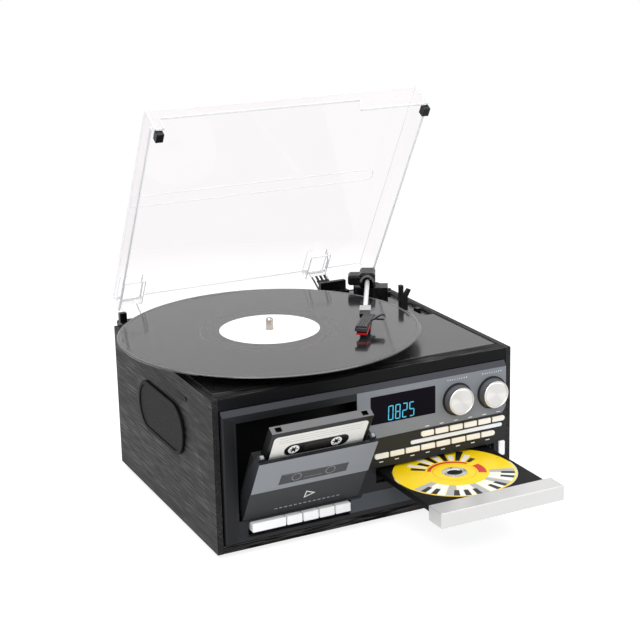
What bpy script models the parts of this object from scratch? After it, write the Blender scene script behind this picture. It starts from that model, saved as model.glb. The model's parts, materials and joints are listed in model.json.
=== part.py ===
import math

import bmesh
import bpy

# Driving dimensions in metres, x to the right, y to the back, z up
case_width = 0.316
case_depth = 0.267
case_height = 0.150
side_thick = 0.006
top_thick = 0.0115
base_thick = 0.008
back_thick = 0.004
foot_height = 0.006
seat_gap = 0.0003
running_gap = 0.0004
overrun = 0.005

deck_thick = 0.004
deck_front = 0.0165
deck_back_margin = 0.005
deck_side_margin = 0.0015

platter_x = -0.040
platter_from_back = 0.1322
platter_radius = 0.098
platter_rise = 0.0116
platter_thick = 0.0046
drive_ring_radius = 0.060
spindle_radius = 0.0036
record_radius = 0.15075
record_thick = 0.0016
pulley_radius = 0.005
pulley_distance = 0.078
pulley_bearing = math.radians(135)
motor_radius = 0.016
belt_thick = 0.0006

arm_x = 0.1155
arm_from_back = 0.0466
arm_rise = 0.0235
arm_turn = math.radians(-28.9)
arm_shaft_radius = 0.003
arm_stand_drop = 0.007
shell_start = 0.1413
shell_turn = math.radians(-9.7)
shell_aside = 0.005

lid_left = -0.147
lid_right = 0.149
lid_front = 0.0154
lid_back_gap = 0.001
lid_rim_rise = 0.007
lid_height = 0.0295
lid_wall = 0.0022
lid_axis_behind = 0.004
lid_axis_rise = 0.001
lid_open = math.radians(58.85)

bezel_side_gap = 0.0012
bezel_bottom = 0.0095
bezel_top_gap = 0.0005
bezel_face = -0.0035
bezel_back = 0.0025
well_left = -0.137
well_right = -0.0146
well_bottom = 0.030
well_top_margin = 0.0125
well_depth = 0.018
liner_wall = 0.0022

door_axis_y = 0.002
door_axis_z = 0.034
door_open = math.radians(31)
door_left = -0.1342
door_right = -0.0154

slot_left = 0.0048
slot_right = 0.137
slot_drop = 0.0991
slot_height = 0.0154
tray_front = -0.1253
tray_bar_depth = 0.0223
tray_left = 0.007
tray_right = 0.131
tray_floor_rise = 0.0071
tray_thick = 0.006
tray_back = 0.060
disc_radius = 0.060
disc_x = 0.0688
disc_y = -0.0418
disc_thick = 0.0012
tray_travel = 0.120

grille_proud = 0.0025
grille_y = 0.132
grille_drop = 0.0565

coarse_steps = 12
fine_steps = 28
large_steps = 56
weld_distance = 0.00001

# Places that follow from them
half_width = case_width / 2
board_edge = half_width - side_thick - seat_gap
deck_half_width = board_edge - deck_side_margin
deck_back = case_depth - deck_back_margin
bezel_half_width = board_edge - bezel_side_gap
bezel_top = case_height - top_thick - bezel_top_gap
well_top = bezel_top - well_top_margin
slot_bottom = bezel_top - slot_drop
slot_top = slot_bottom + slot_height
tray_bottom = slot_bottom + tray_floor_rise
tray_top = tray_bottom + tray_thick
platter_y = case_depth - platter_from_back
platter_top = case_height + platter_rise
platter_underside = platter_top - platter_thick
record_top = platter_top + seat_gap + record_thick
deck_floor = case_height - deck_thick
grille_z = case_height - grille_drop
arm_y = case_depth - arm_from_back
arm_height = case_height + arm_rise
arm_stand_top = arm_height - arm_stand_drop
lid_axis_y = case_depth + lid_axis_behind
lid_axis_z = case_height + lid_axis_rise
lid_back = lid_axis_y - lid_back_gap
lid_rim = case_height + lid_rim_rise
lid_top = lid_rim + lid_height
lid_reach = (lid_top - lid_axis_z) * math.sin(lid_open) - (lid_axis_y - lid_back) * math.cos(lid_open)
plan_left = platter_x - record_radius
plan_right = half_width + grille_proud + seat_gap
plan_back = lid_axis_y + lid_reach
pulley_x = platter_x + pulley_distance * math.cos(pulley_bearing)
pulley_y = platter_y + pulley_distance * math.sin(pulley_bearing)
disc_seat = tray_top - disc_thick - 2 * seat_gap

# Start from an empty scene
for old_object in list(bpy.data.objects):
    bpy.data.objects.remove(old_object, do_unlink=True)

parts = bpy.data.collections.new("music_center")
cutters = bpy.data.collections.new("cutters")
bpy.context.scene.collection.children.link(parts)
bpy.context.scene.collection.children.link(cutters)

# Colour, roughness and metallic value of each finish
finishes = {
    "black_wood": ((0.045, 0.045, 0.048), 0.55, 0.0),
    "black_satin": ((0.03, 0.03, 0.032), 0.4, 0.0),
    "black_matte": ((0.012, 0.012, 0.013), 0.7, 0.0),
    "dark_grey": ((0.045, 0.045, 0.052), 0.45, 0.0),
    "vinyl": ((0.02, 0.02, 0.021), 0.15, 0.0),
    "clear": ((0.95, 0.95, 0.95), 0.05, 0.0),
    "display": ((0.008, 0.005, 0.013), 0.1, 0.0),
    "spun_metal": ((0.75, 0.74, 0.72), 0.3, 1.0),
    "silver": ((0.7, 0.71, 0.72), 0.35, 0.6),
    "ivory": ((0.85, 0.8, 0.68), 0.4, 0.0),
    "rubber": ((0.015, 0.015, 0.015), 0.85, 0.0),
    "green_board": ((0.02, 0.12, 0.05), 0.5, 0.0),
    "steel": ((0.45, 0.45, 0.46), 0.35, 1.0),
    "disc_print": ((0.8, 0.7, 0.05), 0.25, 0.2),
}


def finish(name):
    material = bpy.data.materials.get(name)
    if material is None:
        colour, roughness, metallic = finishes[name]
        material = bpy.data.materials.new(name)
        material.use_nodes = True
        shader = material.node_tree.nodes["Principled BSDF"]
        shader.inputs["Base Color"].default_value = (*colour, 1.0)
        shader.inputs["Roughness"].default_value = roughness
        shader.inputs["Metallic"].default_value = metallic
    return material


def empty(name, place, turn=(0, 0, 0), parent=None):
    frame = bpy.data.objects.new(name, None)
    parts.objects.link(frame)
    frame.parent = parent
    frame.location = place
    frame.rotation_euler = turn
    return frame


def add(name, mesh, place, turn, frame, look):
    piece = bpy.data.objects.new(name, mesh)
    parts.objects.link(piece)
    piece.parent = frame
    piece.location = place
    piece.rotation_euler = turn
    mesh.materials.append(finish(look))
    return piece


def smooth(mesh):
    mesh.shade_smooth()
    mesh.set_sharp_from_angle(angle=math.radians(30))


# A box between two corners
def block(name, low, high, frame, look, rounding=0):
    size = [b - a for a, b in zip(low, high)]
    middle = [(a + b) / 2 for a, b in zip(low, high)]
    mesh = bpy.data.meshes.new(name)
    shape = bmesh.new()
    bmesh.ops.create_cube(shape, size=1)
    bmesh.ops.scale(shape, vec=size, verts=shape.verts)
    shape.to_mesh(mesh)
    shape.free()
    piece = add(name, mesh, middle, (0, 0, 0), frame, look)
    if rounding:
        bevel = piece.modifiers.new("rounding", "BEVEL")
        bevel.width = rounding
        bevel.segments = 1
    return piece


along_x = (0, math.radians(90), 0)
along_y = (math.radians(90), 0, 0)
along_z = (0, 0, 0)


# A round bar or disc centred on its place
def cylinder(name, radius, length, place, turn, frame, look, steps=coarse_steps):
    mesh = bpy.data.meshes.new(name)
    shape = bmesh.new()
    bmesh.ops.create_cone(
        shape, cap_ends=True, segments=steps, radius1=radius, radius2=radius, depth=length
    )
    shape.to_mesh(mesh)
    shape.free()
    smooth(mesh)
    return add(name, mesh, place, turn, frame, look)


# A turned piece from (radius, height) points that run down its outer side
def turned(name, profile, place, turn, frame, look, steps=fine_steps, closed=False):
    mesh = bpy.data.meshes.new(name)
    shape = bmesh.new()
    points = [shape.verts.new((radius, 0, height)) for radius, height in profile]
    for first, second in zip(points, points[1:]):
        shape.edges.new((first, second))
    if closed:
        shape.edges.new((points[-1], points[0]))
    shape.to_mesh(mesh)
    shape.free()
    piece = add(name, mesh, place, turn, frame, look)
    screw = piece.modifiers.new("turn", "SCREW")
    screw.steps = steps
    screw.render_steps = steps
    screw.use_merge_vertices = True
    screw.merge_threshold = weld_distance
    screw.use_smooth_shade = True
    return piece


# A flat outline drawn as a curve, made thick and turned into a mesh
def slab(name, outline, thick, place, turn, frame, look):
    curve = bpy.data.curves.new(name, "CURVE")
    curve.dimensions = "2D"
    curve.fill_mode = "BOTH"
    curve.extrude = thick / 2
    line = curve.splines.new("POLY")
    line.points.add(len(outline) - 1)
    for point, (x, y) in zip(line.points, outline):
        point.co = (x, y, 0, 1)
    line.use_cyclic_u = True
    drawing = bpy.data.objects.new(name + "_outline", curve)
    parts.objects.link(drawing)
    bpy.context.view_layer.update()
    mesh = bpy.data.meshes.new_from_object(
        drawing.evaluated_get(bpy.context.evaluated_depsgraph_get())
    )
    bpy.data.objects.remove(drawing)
    shape = bmesh.new()
    shape.from_mesh(mesh)
    bmesh.ops.remove_doubles(shape, verts=shape.verts, dist=weld_distance)
    bmesh.ops.recalc_face_normals(shape, faces=shape.faces)
    shape.to_mesh(mesh)
    shape.free()
    mesh.materials.clear()
    return add(name, mesh, place, turn, frame, look)


def arc(centre_x, centre_y, radius, start, end, steps):
    angles = [start + (end - start) * step / steps for step in range(steps + 1)]
    return [(centre_x + radius * math.cos(a), centre_y + radius * math.sin(a)) for a in angles]


# A straight-sided oval, long along its first axis
def oval(length, width, steps=coarse_steps):
    radius = width / 2
    offset = length / 2 - radius
    right = arc(offset, 0, radius, -math.pi / 2, math.pi / 2, steps)
    left = arc(-offset, 0, radius, math.pi / 2, 3 * math.pi / 2, steps)
    return right + left


def use(piece, other, operation):
    change = piece.modifiers.new(other.name, "BOOLEAN")
    change.operation = operation
    change.solver = "EXACT"
    change.object = other
    parts.objects.unlink(other)
    cutters.objects.link(other)
    other.hide_render = True
    other.display_type = "WIRE"


def cut(piece, *others):
    for other in others:
        use(piece, other, "DIFFERENCE")


def join(piece, *others):
    for other in others:
        use(piece, other, "UNION")


case = empty("case", (-(plan_left + plan_right) / 2, -(tray_front + plan_back) / 2, foot_height))
facing_side = (math.radians(90), 0, math.radians(90))


# Wooden case
def side_panel(name, side):
    hole_length = 0.104
    hole_width = 0.036
    socket_radius = 0.0022
    socket_y = 0.0642
    socket_drop = 0.018
    outer = side * half_width
    inner = side * (half_width - side_thick)
    panel = block(
        name, (min(outer, inner), 0, 0), (max(outer, inner), case_depth, case_height), case, "black_wood"
    )
    reach = side_thick + 2 * overrun
    middle = (outer + inner) / 2
    cut(panel, slab(name + "_hole", oval(hole_length, hole_width), reach,
                    (middle, grille_y, grille_z), facing_side, case, "black_wood"))
    if side < 0:
        cut(panel, cylinder(name + "_socket", socket_radius, side_thick,
                            (outer, socket_y, case_height - socket_drop), along_x, case, "black_wood"))


def top_board():
    ledge_width = 0.0027
    ledge_depth_front = 0.0155
    ledge_depth_back = 0.016
    ledge_side = deck_half_width - ledge_width
    ledge_front = deck_front + ledge_depth_front
    ledge_back = deck_back - ledge_depth_back
    board = block("top_board", (-board_edge, 0, case_height - top_thick),
                  (board_edge, case_depth, case_height), case, "black_wood")
    rebate = deck_half_width + seat_gap
    cut(board,
        block("top_rebate", (-rebate, deck_front - seat_gap, deck_floor - seat_gap),
              (rebate, deck_back + seat_gap, case_height + overrun), case, "black_wood"),
        block("top_window", (-ledge_side, ledge_front, case_height - top_thick - overrun),
              (ledge_side, ledge_back, case_height + overrun), case, "black_wood"))


inlet_x = -0.100
inlet_z = 0.040
inlet_width = 0.024
inlet_height = 0.015


def lower_boards():
    block("bottom_board", (-board_edge, 0, 0), (board_edge, case_depth, base_thick), case, "black_wood")
    back = block("back_panel", (-board_edge, case_depth - back_thick, base_thick + seat_gap),
                 (board_edge, case_depth, case_height - top_thick - seat_gap), case, "black_satin")
    half = inlet_width / 2 + seat_gap
    rise = inlet_height / 2 + seat_gap
    cut(back, block("inlet_hole", (inlet_x - half, case_depth - back_thick - overrun, inlet_z - rise),
                    (inlet_x + half, case_depth + overrun, inlet_z + rise), case, "black_satin"))


def power_inlet():
    flange = 0.004
    flange_thick = 0.003
    body_depth = 0.020
    socket_length = 0.013
    socket_width = 0.0075
    socket_depth = 0.010
    front = case_depth - back_thick - seat_gap
    body = block("power_inlet", (inlet_x - inlet_width / 2, case_depth - body_depth, inlet_z - inlet_height / 2),
                 (inlet_x + inlet_width / 2, case_depth, inlet_z + inlet_height / 2), case, "black_matte")
    join(body, block("inlet_flange",
                     (inlet_x - inlet_width / 2 - flange, front - flange_thick, inlet_z - inlet_height / 2 - flange),
                     (inlet_x + inlet_width / 2 + flange, front, inlet_z + inlet_height / 2 + flange),
                     case, "black_matte"))
    cut(body, slab("inlet_socket", oval(socket_length, socket_width), 2 * socket_depth,
                   (inlet_x, case_depth, inlet_z), along_y, case, "black_matte"))


def feet():
    radius = 0.011
    taper = 0.001
    inset = 0.030
    sides = {"left": -1, "right": 1}
    rows = {"front": inset, "back": case_depth - inset}
    for side, sign in sides.items():
        for row, y in rows.items():
            profile = [(0, -seat_gap), (radius, -seat_gap), (radius - taper, -foot_height), (0, -foot_height)]
            turned("foot_" + row + "_" + side, profile, (sign * (half_width - inset), y, 0),
                   along_z, case, "rubber", coarse_steps)


switch_recess_side = 0.001
switch_recess_width = 0.0117
switch_from_recess = 0.0057
switch_recess_depth = 0.0025
switch_slot_width = 0.003
speed_switch_from_back = 0.107
auto_stop_from_back = 0.077
speed_switch_throw = 0.005
auto_stop_throw = 0.006
switch_recess_right = deck_half_width - switch_recess_side
switch_recess_floor = case_height - switch_recess_depth
switch_x = switch_recess_right - switch_from_recess
switch_centres = {
    "speed_switch": case_depth - speed_switch_from_back,
    "auto_stop_switch": case_depth - auto_stop_from_back,
}
switch_travels = {"speed_switch": (-speed_switch_throw, speed_switch_throw), "auto_stop_switch": (0, auto_stop_throw)}
switch_stem_length = 0.004


# Deck plate with holes for the shafts and a recess for the switches
def deck_plate():
    motor_hole = 0.004
    recess_from_back = 0.025
    recess_length = 0.100
    recess_back = deck_back - recess_from_back
    rounding = 0.0006
    plate = block("deck_plate", (-deck_half_width, deck_front, deck_floor),
                  (deck_half_width, deck_back, case_height), case, "black_satin", rounding)
    reach = deck_thick + 2 * overrun
    middle = case_height - deck_thick / 2
    cut(plate,
        cylinder("spindle_hole", spindle_radius + running_gap, reach, (platter_x, platter_y, middle),
                 along_z, case, "black_satin"),
        cylinder("pulley_hole", motor_hole, reach, (pulley_x, pulley_y, middle), along_z, case, "black_satin"),
        cylinder("arm_hole", arm_shaft_radius + running_gap, reach, (arm_x, arm_y, middle),
                 along_z, case, "black_satin"),
        block("switch_recess",
              (switch_recess_right - switch_recess_width, recess_back - recess_length, switch_recess_floor),
              (switch_recess_right, recess_back, case_height + overrun), case, "black_satin"))
    for name, centre in switch_centres.items():
        low, high = switch_travels[name]
        half = switch_slot_width / 2
        cut(plate, block(name + "_slot",
                         (switch_x - half, centre + low - switch_stem_length / 2 - running_gap, deck_floor - overrun),
                         (switch_x + half, centre + high + switch_stem_length / 2 + running_gap, case_height),
                         case, "black_satin"))


def switches():
    cap_half_width = 0.0025
    cap_half_length = 0.0035
    cap_height = 0.004
    stem_below = 0.004
    stem_bottom = deck_floor - stem_below
    for name, centre in switch_centres.items():
        floor = switch_recess_floor + seat_gap
        cap = block(name, (switch_x - cap_half_width, centre - cap_half_length, floor),
                    (switch_x + cap_half_width, centre + cap_half_length, floor + cap_height), case, "silver")
        half = switch_slot_width / 2 - seat_gap
        join(cap, block(name + "_stem", (switch_x - half, centre - switch_stem_length / 2, stem_bottom),
                        (switch_x + half, centre + switch_stem_length / 2, floor + cap_height / 2),
                        case, "silver"))


# Oval speaker, its grille outside and its driver inside
def speaker(name, side):
    grille_length = 0.122
    grille_width = 0.052
    rim = 0.004
    dish = 0.0012
    neck_length = 0.102
    neck_width = 0.034
    neck_depth = 0.018
    magnet_radius = 0.020
    magnet_depth = 0.014
    face = side * (half_width + seat_gap + grille_proud)
    seat = side * (half_width + seat_gap)
    ring = slab(name, oval(grille_length, grille_width), grille_proud,
                ((face + seat) / 2, grille_y, grille_z), facing_side, case, "black_matte")
    cut(ring, slab(name + "_dish", oval(grille_length - 2 * rim, grille_width - 2 * rim), 2 * dish,
                   (face, grille_y, grille_z), facing_side, case, "black_matte"))
    inner = side * (half_width - neck_depth)
    neck_start = seat + side * grille_proud / 4
    join(ring,
         slab(name + "_neck", oval(neck_length, neck_width), abs(neck_start - inner),
              ((neck_start + inner) / 2, grille_y, grille_z), facing_side, case, "black_matte"),
         cylinder(name + "_magnet", magnet_radius, magnet_depth,
                  (inner - side * (magnet_depth / 2 - seat_gap), grille_y, grille_z),
                  along_x, case, "steel", fine_steps))


# Circuit board on stand-offs, with its transformer and capacitors
def main_board():
    left = -0.140
    right = -0.012
    front = 0.066
    back_clearance = 0.021
    thick = 0.0016
    standoff = 0.003
    standoff_radius = 0.003
    standoff_inset = 0.006
    transformer_width = 0.052
    transformer_depth = 0.046
    transformer_height = 0.042
    transformer_side_inset = 0.020
    transformer_back_inset = 0.014
    capacitor_radius = 0.009
    capacitor_height = 0.026
    capacitor_side_inset = 0.028
    capacitor_back_inset = 0.021
    capacitor_pitch = 0.025
    capacitor_count = 2
    back = case_depth - back_clearance
    bottom = base_thick + seat_gap + standoff
    board = block("main_board", (left, front, bottom), (right, back, bottom + thick), case, "green_board")
    for x in (left + standoff_inset, right - standoff_inset):
        for y in (front + standoff_inset, back - standoff_inset):
            join(board, cylinder("board_standoff", standoff_radius, standoff + thick / 2,
                                 (x, y, base_thick + seat_gap + (standoff + thick / 2) / 2),
                                 along_z, case, "green_board"))
    side = left + transformer_side_inset
    end = back - transformer_back_inset
    join(board, block("transformer", (side, end - transformer_depth, bottom + thick / 2),
                      (side + transformer_width, end, bottom + transformer_height), case, "steel"))
    for index in range(capacitor_count):
        join(board, cylinder("capacitor", capacitor_radius, capacitor_height,
                             (right - capacitor_side_inset, back - capacitor_back_inset - index * capacitor_pitch,
                              bottom + thick / 2 + capacitor_height / 2), along_z, case, "black_satin"))


# Turntable drive
def drive():
    motor_height = 0.022
    pulley_clearance = 0.0007
    pulley_height = 0.004
    belt_inset = 0.0004
    pulley_top = platter_underside - pulley_clearance
    pulley_bottom = pulley_top - pulley_height
    pulley_shaft_radius = 0.0012
    pulley_shaft_bottom = deck_floor
    belt_bottom = pulley_bottom + belt_inset
    belt_top = pulley_top - belt_inset
    motor_top = deck_floor - seat_gap
    cylinder("drive_motor", motor_radius, motor_height, (pulley_x, pulley_y, motor_top - motor_height / 2),
             along_z, case, "steel", fine_steps)
    profile = [(0, pulley_top), (pulley_radius, pulley_top), (pulley_radius, pulley_bottom),
               (pulley_shaft_radius, pulley_bottom), (pulley_shaft_radius, pulley_shaft_bottom),
               (0, pulley_shaft_bottom)]
    turned("motor_pulley", profile, (pulley_x, pulley_y, 0), along_z, case, "silver", coarse_steps)
    # The belt's loop, with the pulley on its first axis
    spread = math.acos((drive_ring_radius - pulley_radius) / pulley_distance)
    big = drive_ring_radius + seat_gap
    small = pulley_radius + seat_gap

    def loop(extra):
        far = arc(0, 0, big + extra, spread, 2 * math.pi - spread, fine_steps)
        near = arc(pulley_distance, 0, small + extra, -spread, spread, coarse_steps)
        return far + near

    middle = (belt_bottom + belt_top) / 2
    turn = (0, 0, pulley_bearing)
    belt = slab("drive_belt", loop(belt_thick), belt_top - belt_bottom, (platter_x, platter_y, middle),
                turn, case, "rubber")
    cut(belt, slab("belt_inside", loop(0), belt_top - belt_bottom + overrun,
                   (platter_x, platter_y, middle), turn, case, "rubber"))


def platter():
    spindle_rise = 0.0137
    spindle_tip = platter_top + spindle_rise
    tip_radius = 0.0022
    tip_height = 0.0018
    ring_clearance = 0.001
    ring_bottom = case_height + ring_clearance
    ring_inner = 0.055
    web_recess = 0.001
    web_underside = platter_underside + web_recess
    hub_radius = 0.008
    hub_bottom = case_height + seat_gap
    shaft_below = 0.015
    shaft_bottom = case_height - shaft_below
    profile = [
        (0, spindle_tip), (tip_radius, spindle_tip), (spindle_radius, spindle_tip - tip_height),
        (spindle_radius, platter_top), (platter_radius, platter_top), (platter_radius, platter_underside),
        (drive_ring_radius, platter_underside), (drive_ring_radius, ring_bottom), (ring_inner, ring_bottom),
        (ring_inner, web_underside), (hub_radius, web_underside), (hub_radius, hub_bottom),
        (spindle_radius, hub_bottom), (spindle_radius, shaft_bottom), (0, shaft_bottom),
    ]
    turned("platter", profile, (platter_x, platter_y, 0), along_z, case, "black_matte", large_steps)
    bottom = platter_top + seat_gap
    hole = spindle_radius + running_gap
    turned("record", [(hole, record_top), (record_radius, record_top), (record_radius, bottom), (hole, bottom)],
           (platter_x, platter_y, 0), along_z, case, "vinyl", large_steps, True)


# Lid, drawn closed in the frame of its hinge axis and tilted open by that frame
leaf_width = 0.018
bracket_width = 0.031
left_upright_width = 0.0075
right_bracket_left = 0.079
left_bracket_left = -0.1525
right_leaf_left = 0.082
left_leaf_left = -0.1425
knuckle_radius = 0.0032
lid_frame = empty("lid_axis", (0, lid_axis_y, lid_axis_z), (-lid_open, 0, 0), case)


def closed_lid_block(name, low, high, look="clear"):
    base = (0, lid_axis_y, lid_axis_z)
    return block(name, [a - b for a, b in zip(low, base)], [a - b for a, b in zip(high, base)], lid_frame, look)


def lid():
    relief_left = -0.137
    relief_right_low = 0.0704
    relief_right_high = 0.077
    front_wall_height = 0.0145
    side_wall_height = 0.0195
    side_relief_inset = 0.0071
    socket_width = 0.024
    socket_depth = 0.033
    socket_height = 0.013
    leaf_ahead = 0.0025
    leaf_behind = 0.001
    bumper_bottom = case_height + seat_gap
    bumper_width = 0.0075
    bumper_inset = 0.0021
    bumper_depth = 0.0095
    overlap = 0.0004
    bumper_front = lid_front + bumper_inset
    leaf_front = lid_axis_y - leaf_ahead
    leaf_back = lid_axis_y + leaf_behind
    socket_front = lid_axis_y - socket_depth
    socket_bottom = lid_top - socket_height
    shell = closed_lid_block("lid", (lid_left, lid_front, lid_rim), (lid_right, lid_back, lid_top))
    cut(shell,
        closed_lid_block("lid_inside", (lid_left + lid_wall, lid_front + lid_wall, lid_rim - overrun),
                         (lid_right - lid_wall, lid_back + overrun, lid_top - lid_wall)),
        closed_lid_block("lid_side_relief", (lid_left - overrun, lid_front + side_relief_inset, lid_rim - overrun),
                         (lid_left + lid_wall + overrun, lid_back + overrun, lid_top - side_wall_height)))
    relief_top = lid_top - front_wall_height
    outline = [(relief_left, lid_rim - overrun), (relief_right_low, lid_rim - overrun),
               (relief_right_low, lid_rim), (relief_right_high, relief_top), (relief_left, relief_top)]
    cut(shell, slab("lid_front_relief", [(x, z - lid_axis_z) for x, z in outline], lid_wall + 2 * overrun,
                    (0, lid_front + lid_wall / 2 - lid_axis_y, 0), along_y, lid_frame, "clear"))
    for leaf_left, socket_left in ((right_leaf_left, right_bracket_left - overrun),
                                   (left_leaf_left, left_leaf_left + overlap)):
        join(shell,
             closed_lid_block("lid_socket", (socket_left, socket_front, socket_bottom),
                              (socket_left + socket_width, leaf_back - overlap, lid_top - lid_wall / 2)),
             closed_lid_block("lid_leaf", (leaf_left, leaf_front, lid_axis_z),
                              (leaf_left + leaf_width, leaf_back, lid_top - lid_wall)),
             cylinder("lid_knuckle", knuckle_radius, leaf_width, (leaf_left + leaf_width / 2, 0, 0),
                      along_x, lid_frame, "clear"))
    for left in (lid_left + overlap, lid_right - overlap - bumper_width):
        join(shell, closed_lid_block("lid_bumper", (left, bumper_front, bumper_bottom),
                                     (left + bumper_width, bumper_front + bumper_depth, lid_rim + overlap)))


def hinge_bracket(name, left, leaf_left, upright_width):
    base_reach = 0.017
    base_rise = 0.004
    upright_reach = 0.009
    upright_clearance = 0.0033
    upright_rise = 0.0135
    overlap = 0.0004
    base_front = lid_axis_y - base_reach
    base_top = case_height + base_rise
    upright_front = lid_axis_y - upright_reach
    upright_back = lid_axis_y - upright_clearance
    upright_top = case_height + upright_rise
    right = left + bracket_width
    bottom = case_height + seat_gap
    bracket = block(name, (left, base_front, bottom), (right, upright_back, base_top), case, "black_satin")
    join(bracket, block("bracket_upright", (left, upright_front, bottom),
                        (left + upright_width, upright_back, upright_top), case, "black_satin"))
    ears = ((left, leaf_left - seat_gap), (leaf_left + leaf_width + seat_gap, right))
    for start, end in ears:
        join(bracket,
             block("bracket_ear", (start + overlap, upright_front + 2 * overlap, bottom + overlap),
                   (end - overlap, lid_axis_y, base_top - overlap), case, "black_satin"),
             cylinder("bracket_knuckle", knuckle_radius, end - start, ((start + end) / 2, lid_axis_y, lid_axis_z),
                      along_x, case, "black_satin"))


# Tonearm, drawn in a frame at its pivot that looks along the arm
arm_frame = empty("arm_swing_axis", (arm_x, arm_y, 0), (0, 0, arm_turn), case)
lift_frame = empty("arm_lift_axis", (0, 0, arm_height), (0, 0, 0), arm_frame)
shell_frame = empty("headshell_frame",
                    (shell_aside * math.cos(shell_turn), shell_aside * math.sin(shell_turn) - shell_start, 0),
                    (0, 0, shell_turn), lift_frame)

lever_block_left = 0.0095
lever_block_right = 0.022
lever_axis_y = -0.002
lever_axis_drop = 0.0065
lever_axis_z = arm_stand_top - lever_axis_drop
cue_frame = empty("cue_axis", (lever_block_right, lever_axis_y, lever_axis_z), (0, 0, 0), arm_frame)


def tonearm_base():
    column_radius = 0.0155
    block_front = -0.011
    block_back = 0.009
    bottom = case_height + seat_gap
    bore = arm_shaft_radius + running_gap
    column = turned("tonearm_base", [(bore, arm_stand_top), (column_radius, arm_stand_top),
                                     (column_radius, bottom), (bore, bottom)],
                    (0, 0, 0), along_z, arm_frame, "black_satin", fine_steps, True)
    join(column, block("lever_block", (lever_block_left, block_front, bottom),
                       (lever_block_right, block_back, arm_stand_top - seat_gap), arm_frame, "black_satin"))


tube_radius = 0.0025
channel_half_width = 0.0055


def tonearm_gimbal():
    head_half_width = 0.0085
    head_front = -0.014
    head_back = 0.014
    head_rise = 0.0095
    head_chamfer = 0.002
    channel_drop = 0.0045
    channel_rise = 0.0065
    channel_back = 0.009
    ear_left = -0.021
    ear_back = 0.006
    ear_drop = 0.004
    ear_rise = 0.007
    shaft_below = 0.015
    shaft_bottom = case_height - shaft_below
    head_top = arm_height + head_rise
    channel_bottom = arm_height - channel_drop
    channel_top = arm_height + channel_rise
    ear_bottom = arm_height - ear_drop
    ear_top = arm_height + ear_rise
    bottom = arm_stand_top + seat_gap
    head = block("tonearm_gimbal", (-head_half_width, head_front, bottom),
                 (head_half_width, head_back, head_top), arm_frame, "black_satin", head_chamfer)
    join(head, block("ear", (ear_left, head_front + seat_gap, ear_bottom), (0, ear_back, ear_top),
                     arm_frame, "black_satin", head_chamfer))
    cut(head, block("arm_channel", (-channel_half_width, head_front - overrun, channel_bottom),
                    (channel_half_width, channel_back, channel_top), arm_frame, "black_satin"))
    join(head, cylinder("arm_shaft", arm_shaft_radius, channel_bottom - shaft_bottom - seat_gap,
                        (0, 0, (channel_bottom - seat_gap + shaft_bottom) / 2), along_z, arm_frame, "black_satin"))


# Tube, cross pin, collar and neck
def tonearm():
    tail = 0.006
    tube_end = 0.111
    collar_start = 0.110
    collar_end = 0.127
    collar_half_width = 0.0056
    collar_bottom = -0.0025
    collar_top = 0.002
    neck_half_width = 0.0053
    neck_half_height = 0.002
    pin_radius = 0.0014
    tube = cylinder("tonearm", tube_radius, tube_end + tail, (0, (tail - tube_end) / 2, 0),
                    along_y, lift_frame, "silver")
    join(tube,
         cylinder("arm_pin", pin_radius, 2 * (channel_half_width - seat_gap), (0, 0, 0),
                  along_x, lift_frame, "silver"),
         block("arm_collar", (-collar_half_width, -collar_end, collar_bottom),
               (collar_half_width, -collar_start, collar_top), lift_frame, "silver"),
         block("arm_neck", (-neck_half_width, seat_gap - shell_start, -neck_half_height),
               (neck_half_width, seat_gap - collar_end, neck_half_height - seat_gap), lift_frame, "black_satin"))


# Headshell with cartridge, stylus and finger lift
def headshell():
    length = 0.0445
    half_width = 0.0058
    top = 0.0021
    thick = 0.0026
    cartridge_front = -0.0420
    cartridge_back = -0.0150
    cartridge_half_width = 0.0048
    cartridge_clearance = 0.0042
    holder_front = -0.0405
    holder_back = -0.0260
    holder_half_width = 0.0040
    holder_clearance = 0.0032
    tip_inset = 0.0013
    tip_y = cartridge_front + tip_inset
    tip_radius = 0.0008
    lift_root_y = -0.012
    lift_reach = 0.0165
    lift_depth = 0.0035
    lift_thick = 0.0012
    cartridge_bottom = record_top + cartridge_clearance - arm_height
    holder_bottom = record_top + holder_clearance - arm_height
    plate = block("headshell", (-half_width, -length, top - thick), (half_width, -2 * seat_gap, top),
                  shell_frame, "black_satin")
    tip_bottom = record_top + seat_gap - arm_height
    tip_top = cartridge_bottom + seat_gap
    stylus = [(0, tip_top), (tip_radius, tip_top), (tip_radius / 2, tip_bottom), (0, tip_bottom)]
    join(plate,
         block("cartridge", (-cartridge_half_width, cartridge_front, cartridge_bottom),
               (cartridge_half_width, cartridge_back, top - thick / 2), shell_frame, "black_matte"),
         block("stylus_holder", (-holder_half_width, holder_front, holder_bottom),
               (holder_half_width, holder_back, cartridge_bottom + seat_gap), shell_frame, "black_matte"),
         turned("stylus", stylus, (0, tip_y, 0), along_z, shell_frame, "black_matte", coarse_steps),
         block("finger_lift", (0, lift_root_y, top - thick + seat_gap),
               (lift_reach, lift_root_y + lift_depth, top - thick + seat_gap + lift_thick),
               shell_frame, "black_satin"))


def cue_lever():
    hub_radius = 0.0035
    thick = 0.003
    reach = 0.015
    grip_height = 0.004
    grip_depth = 0.003
    start = seat_gap
    hub = cylinder("cue_lever", hub_radius, thick, (start + thick / 2, 0, 0), along_x, cue_frame, "black_satin")
    join(hub,
         block("lever_arm", (start + seat_gap, -reach, -hub_radius / 2),
               (start + thick - seat_gap, 0, hub_radius / 2), cue_frame, "black_satin"),
         block("lever_grip", (start, -reach - grip_depth, -hub_radius / 2 - seat_gap),
               (start + thick, -reach + seat_gap, grip_height), cue_frame, "black_satin"))


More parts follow.
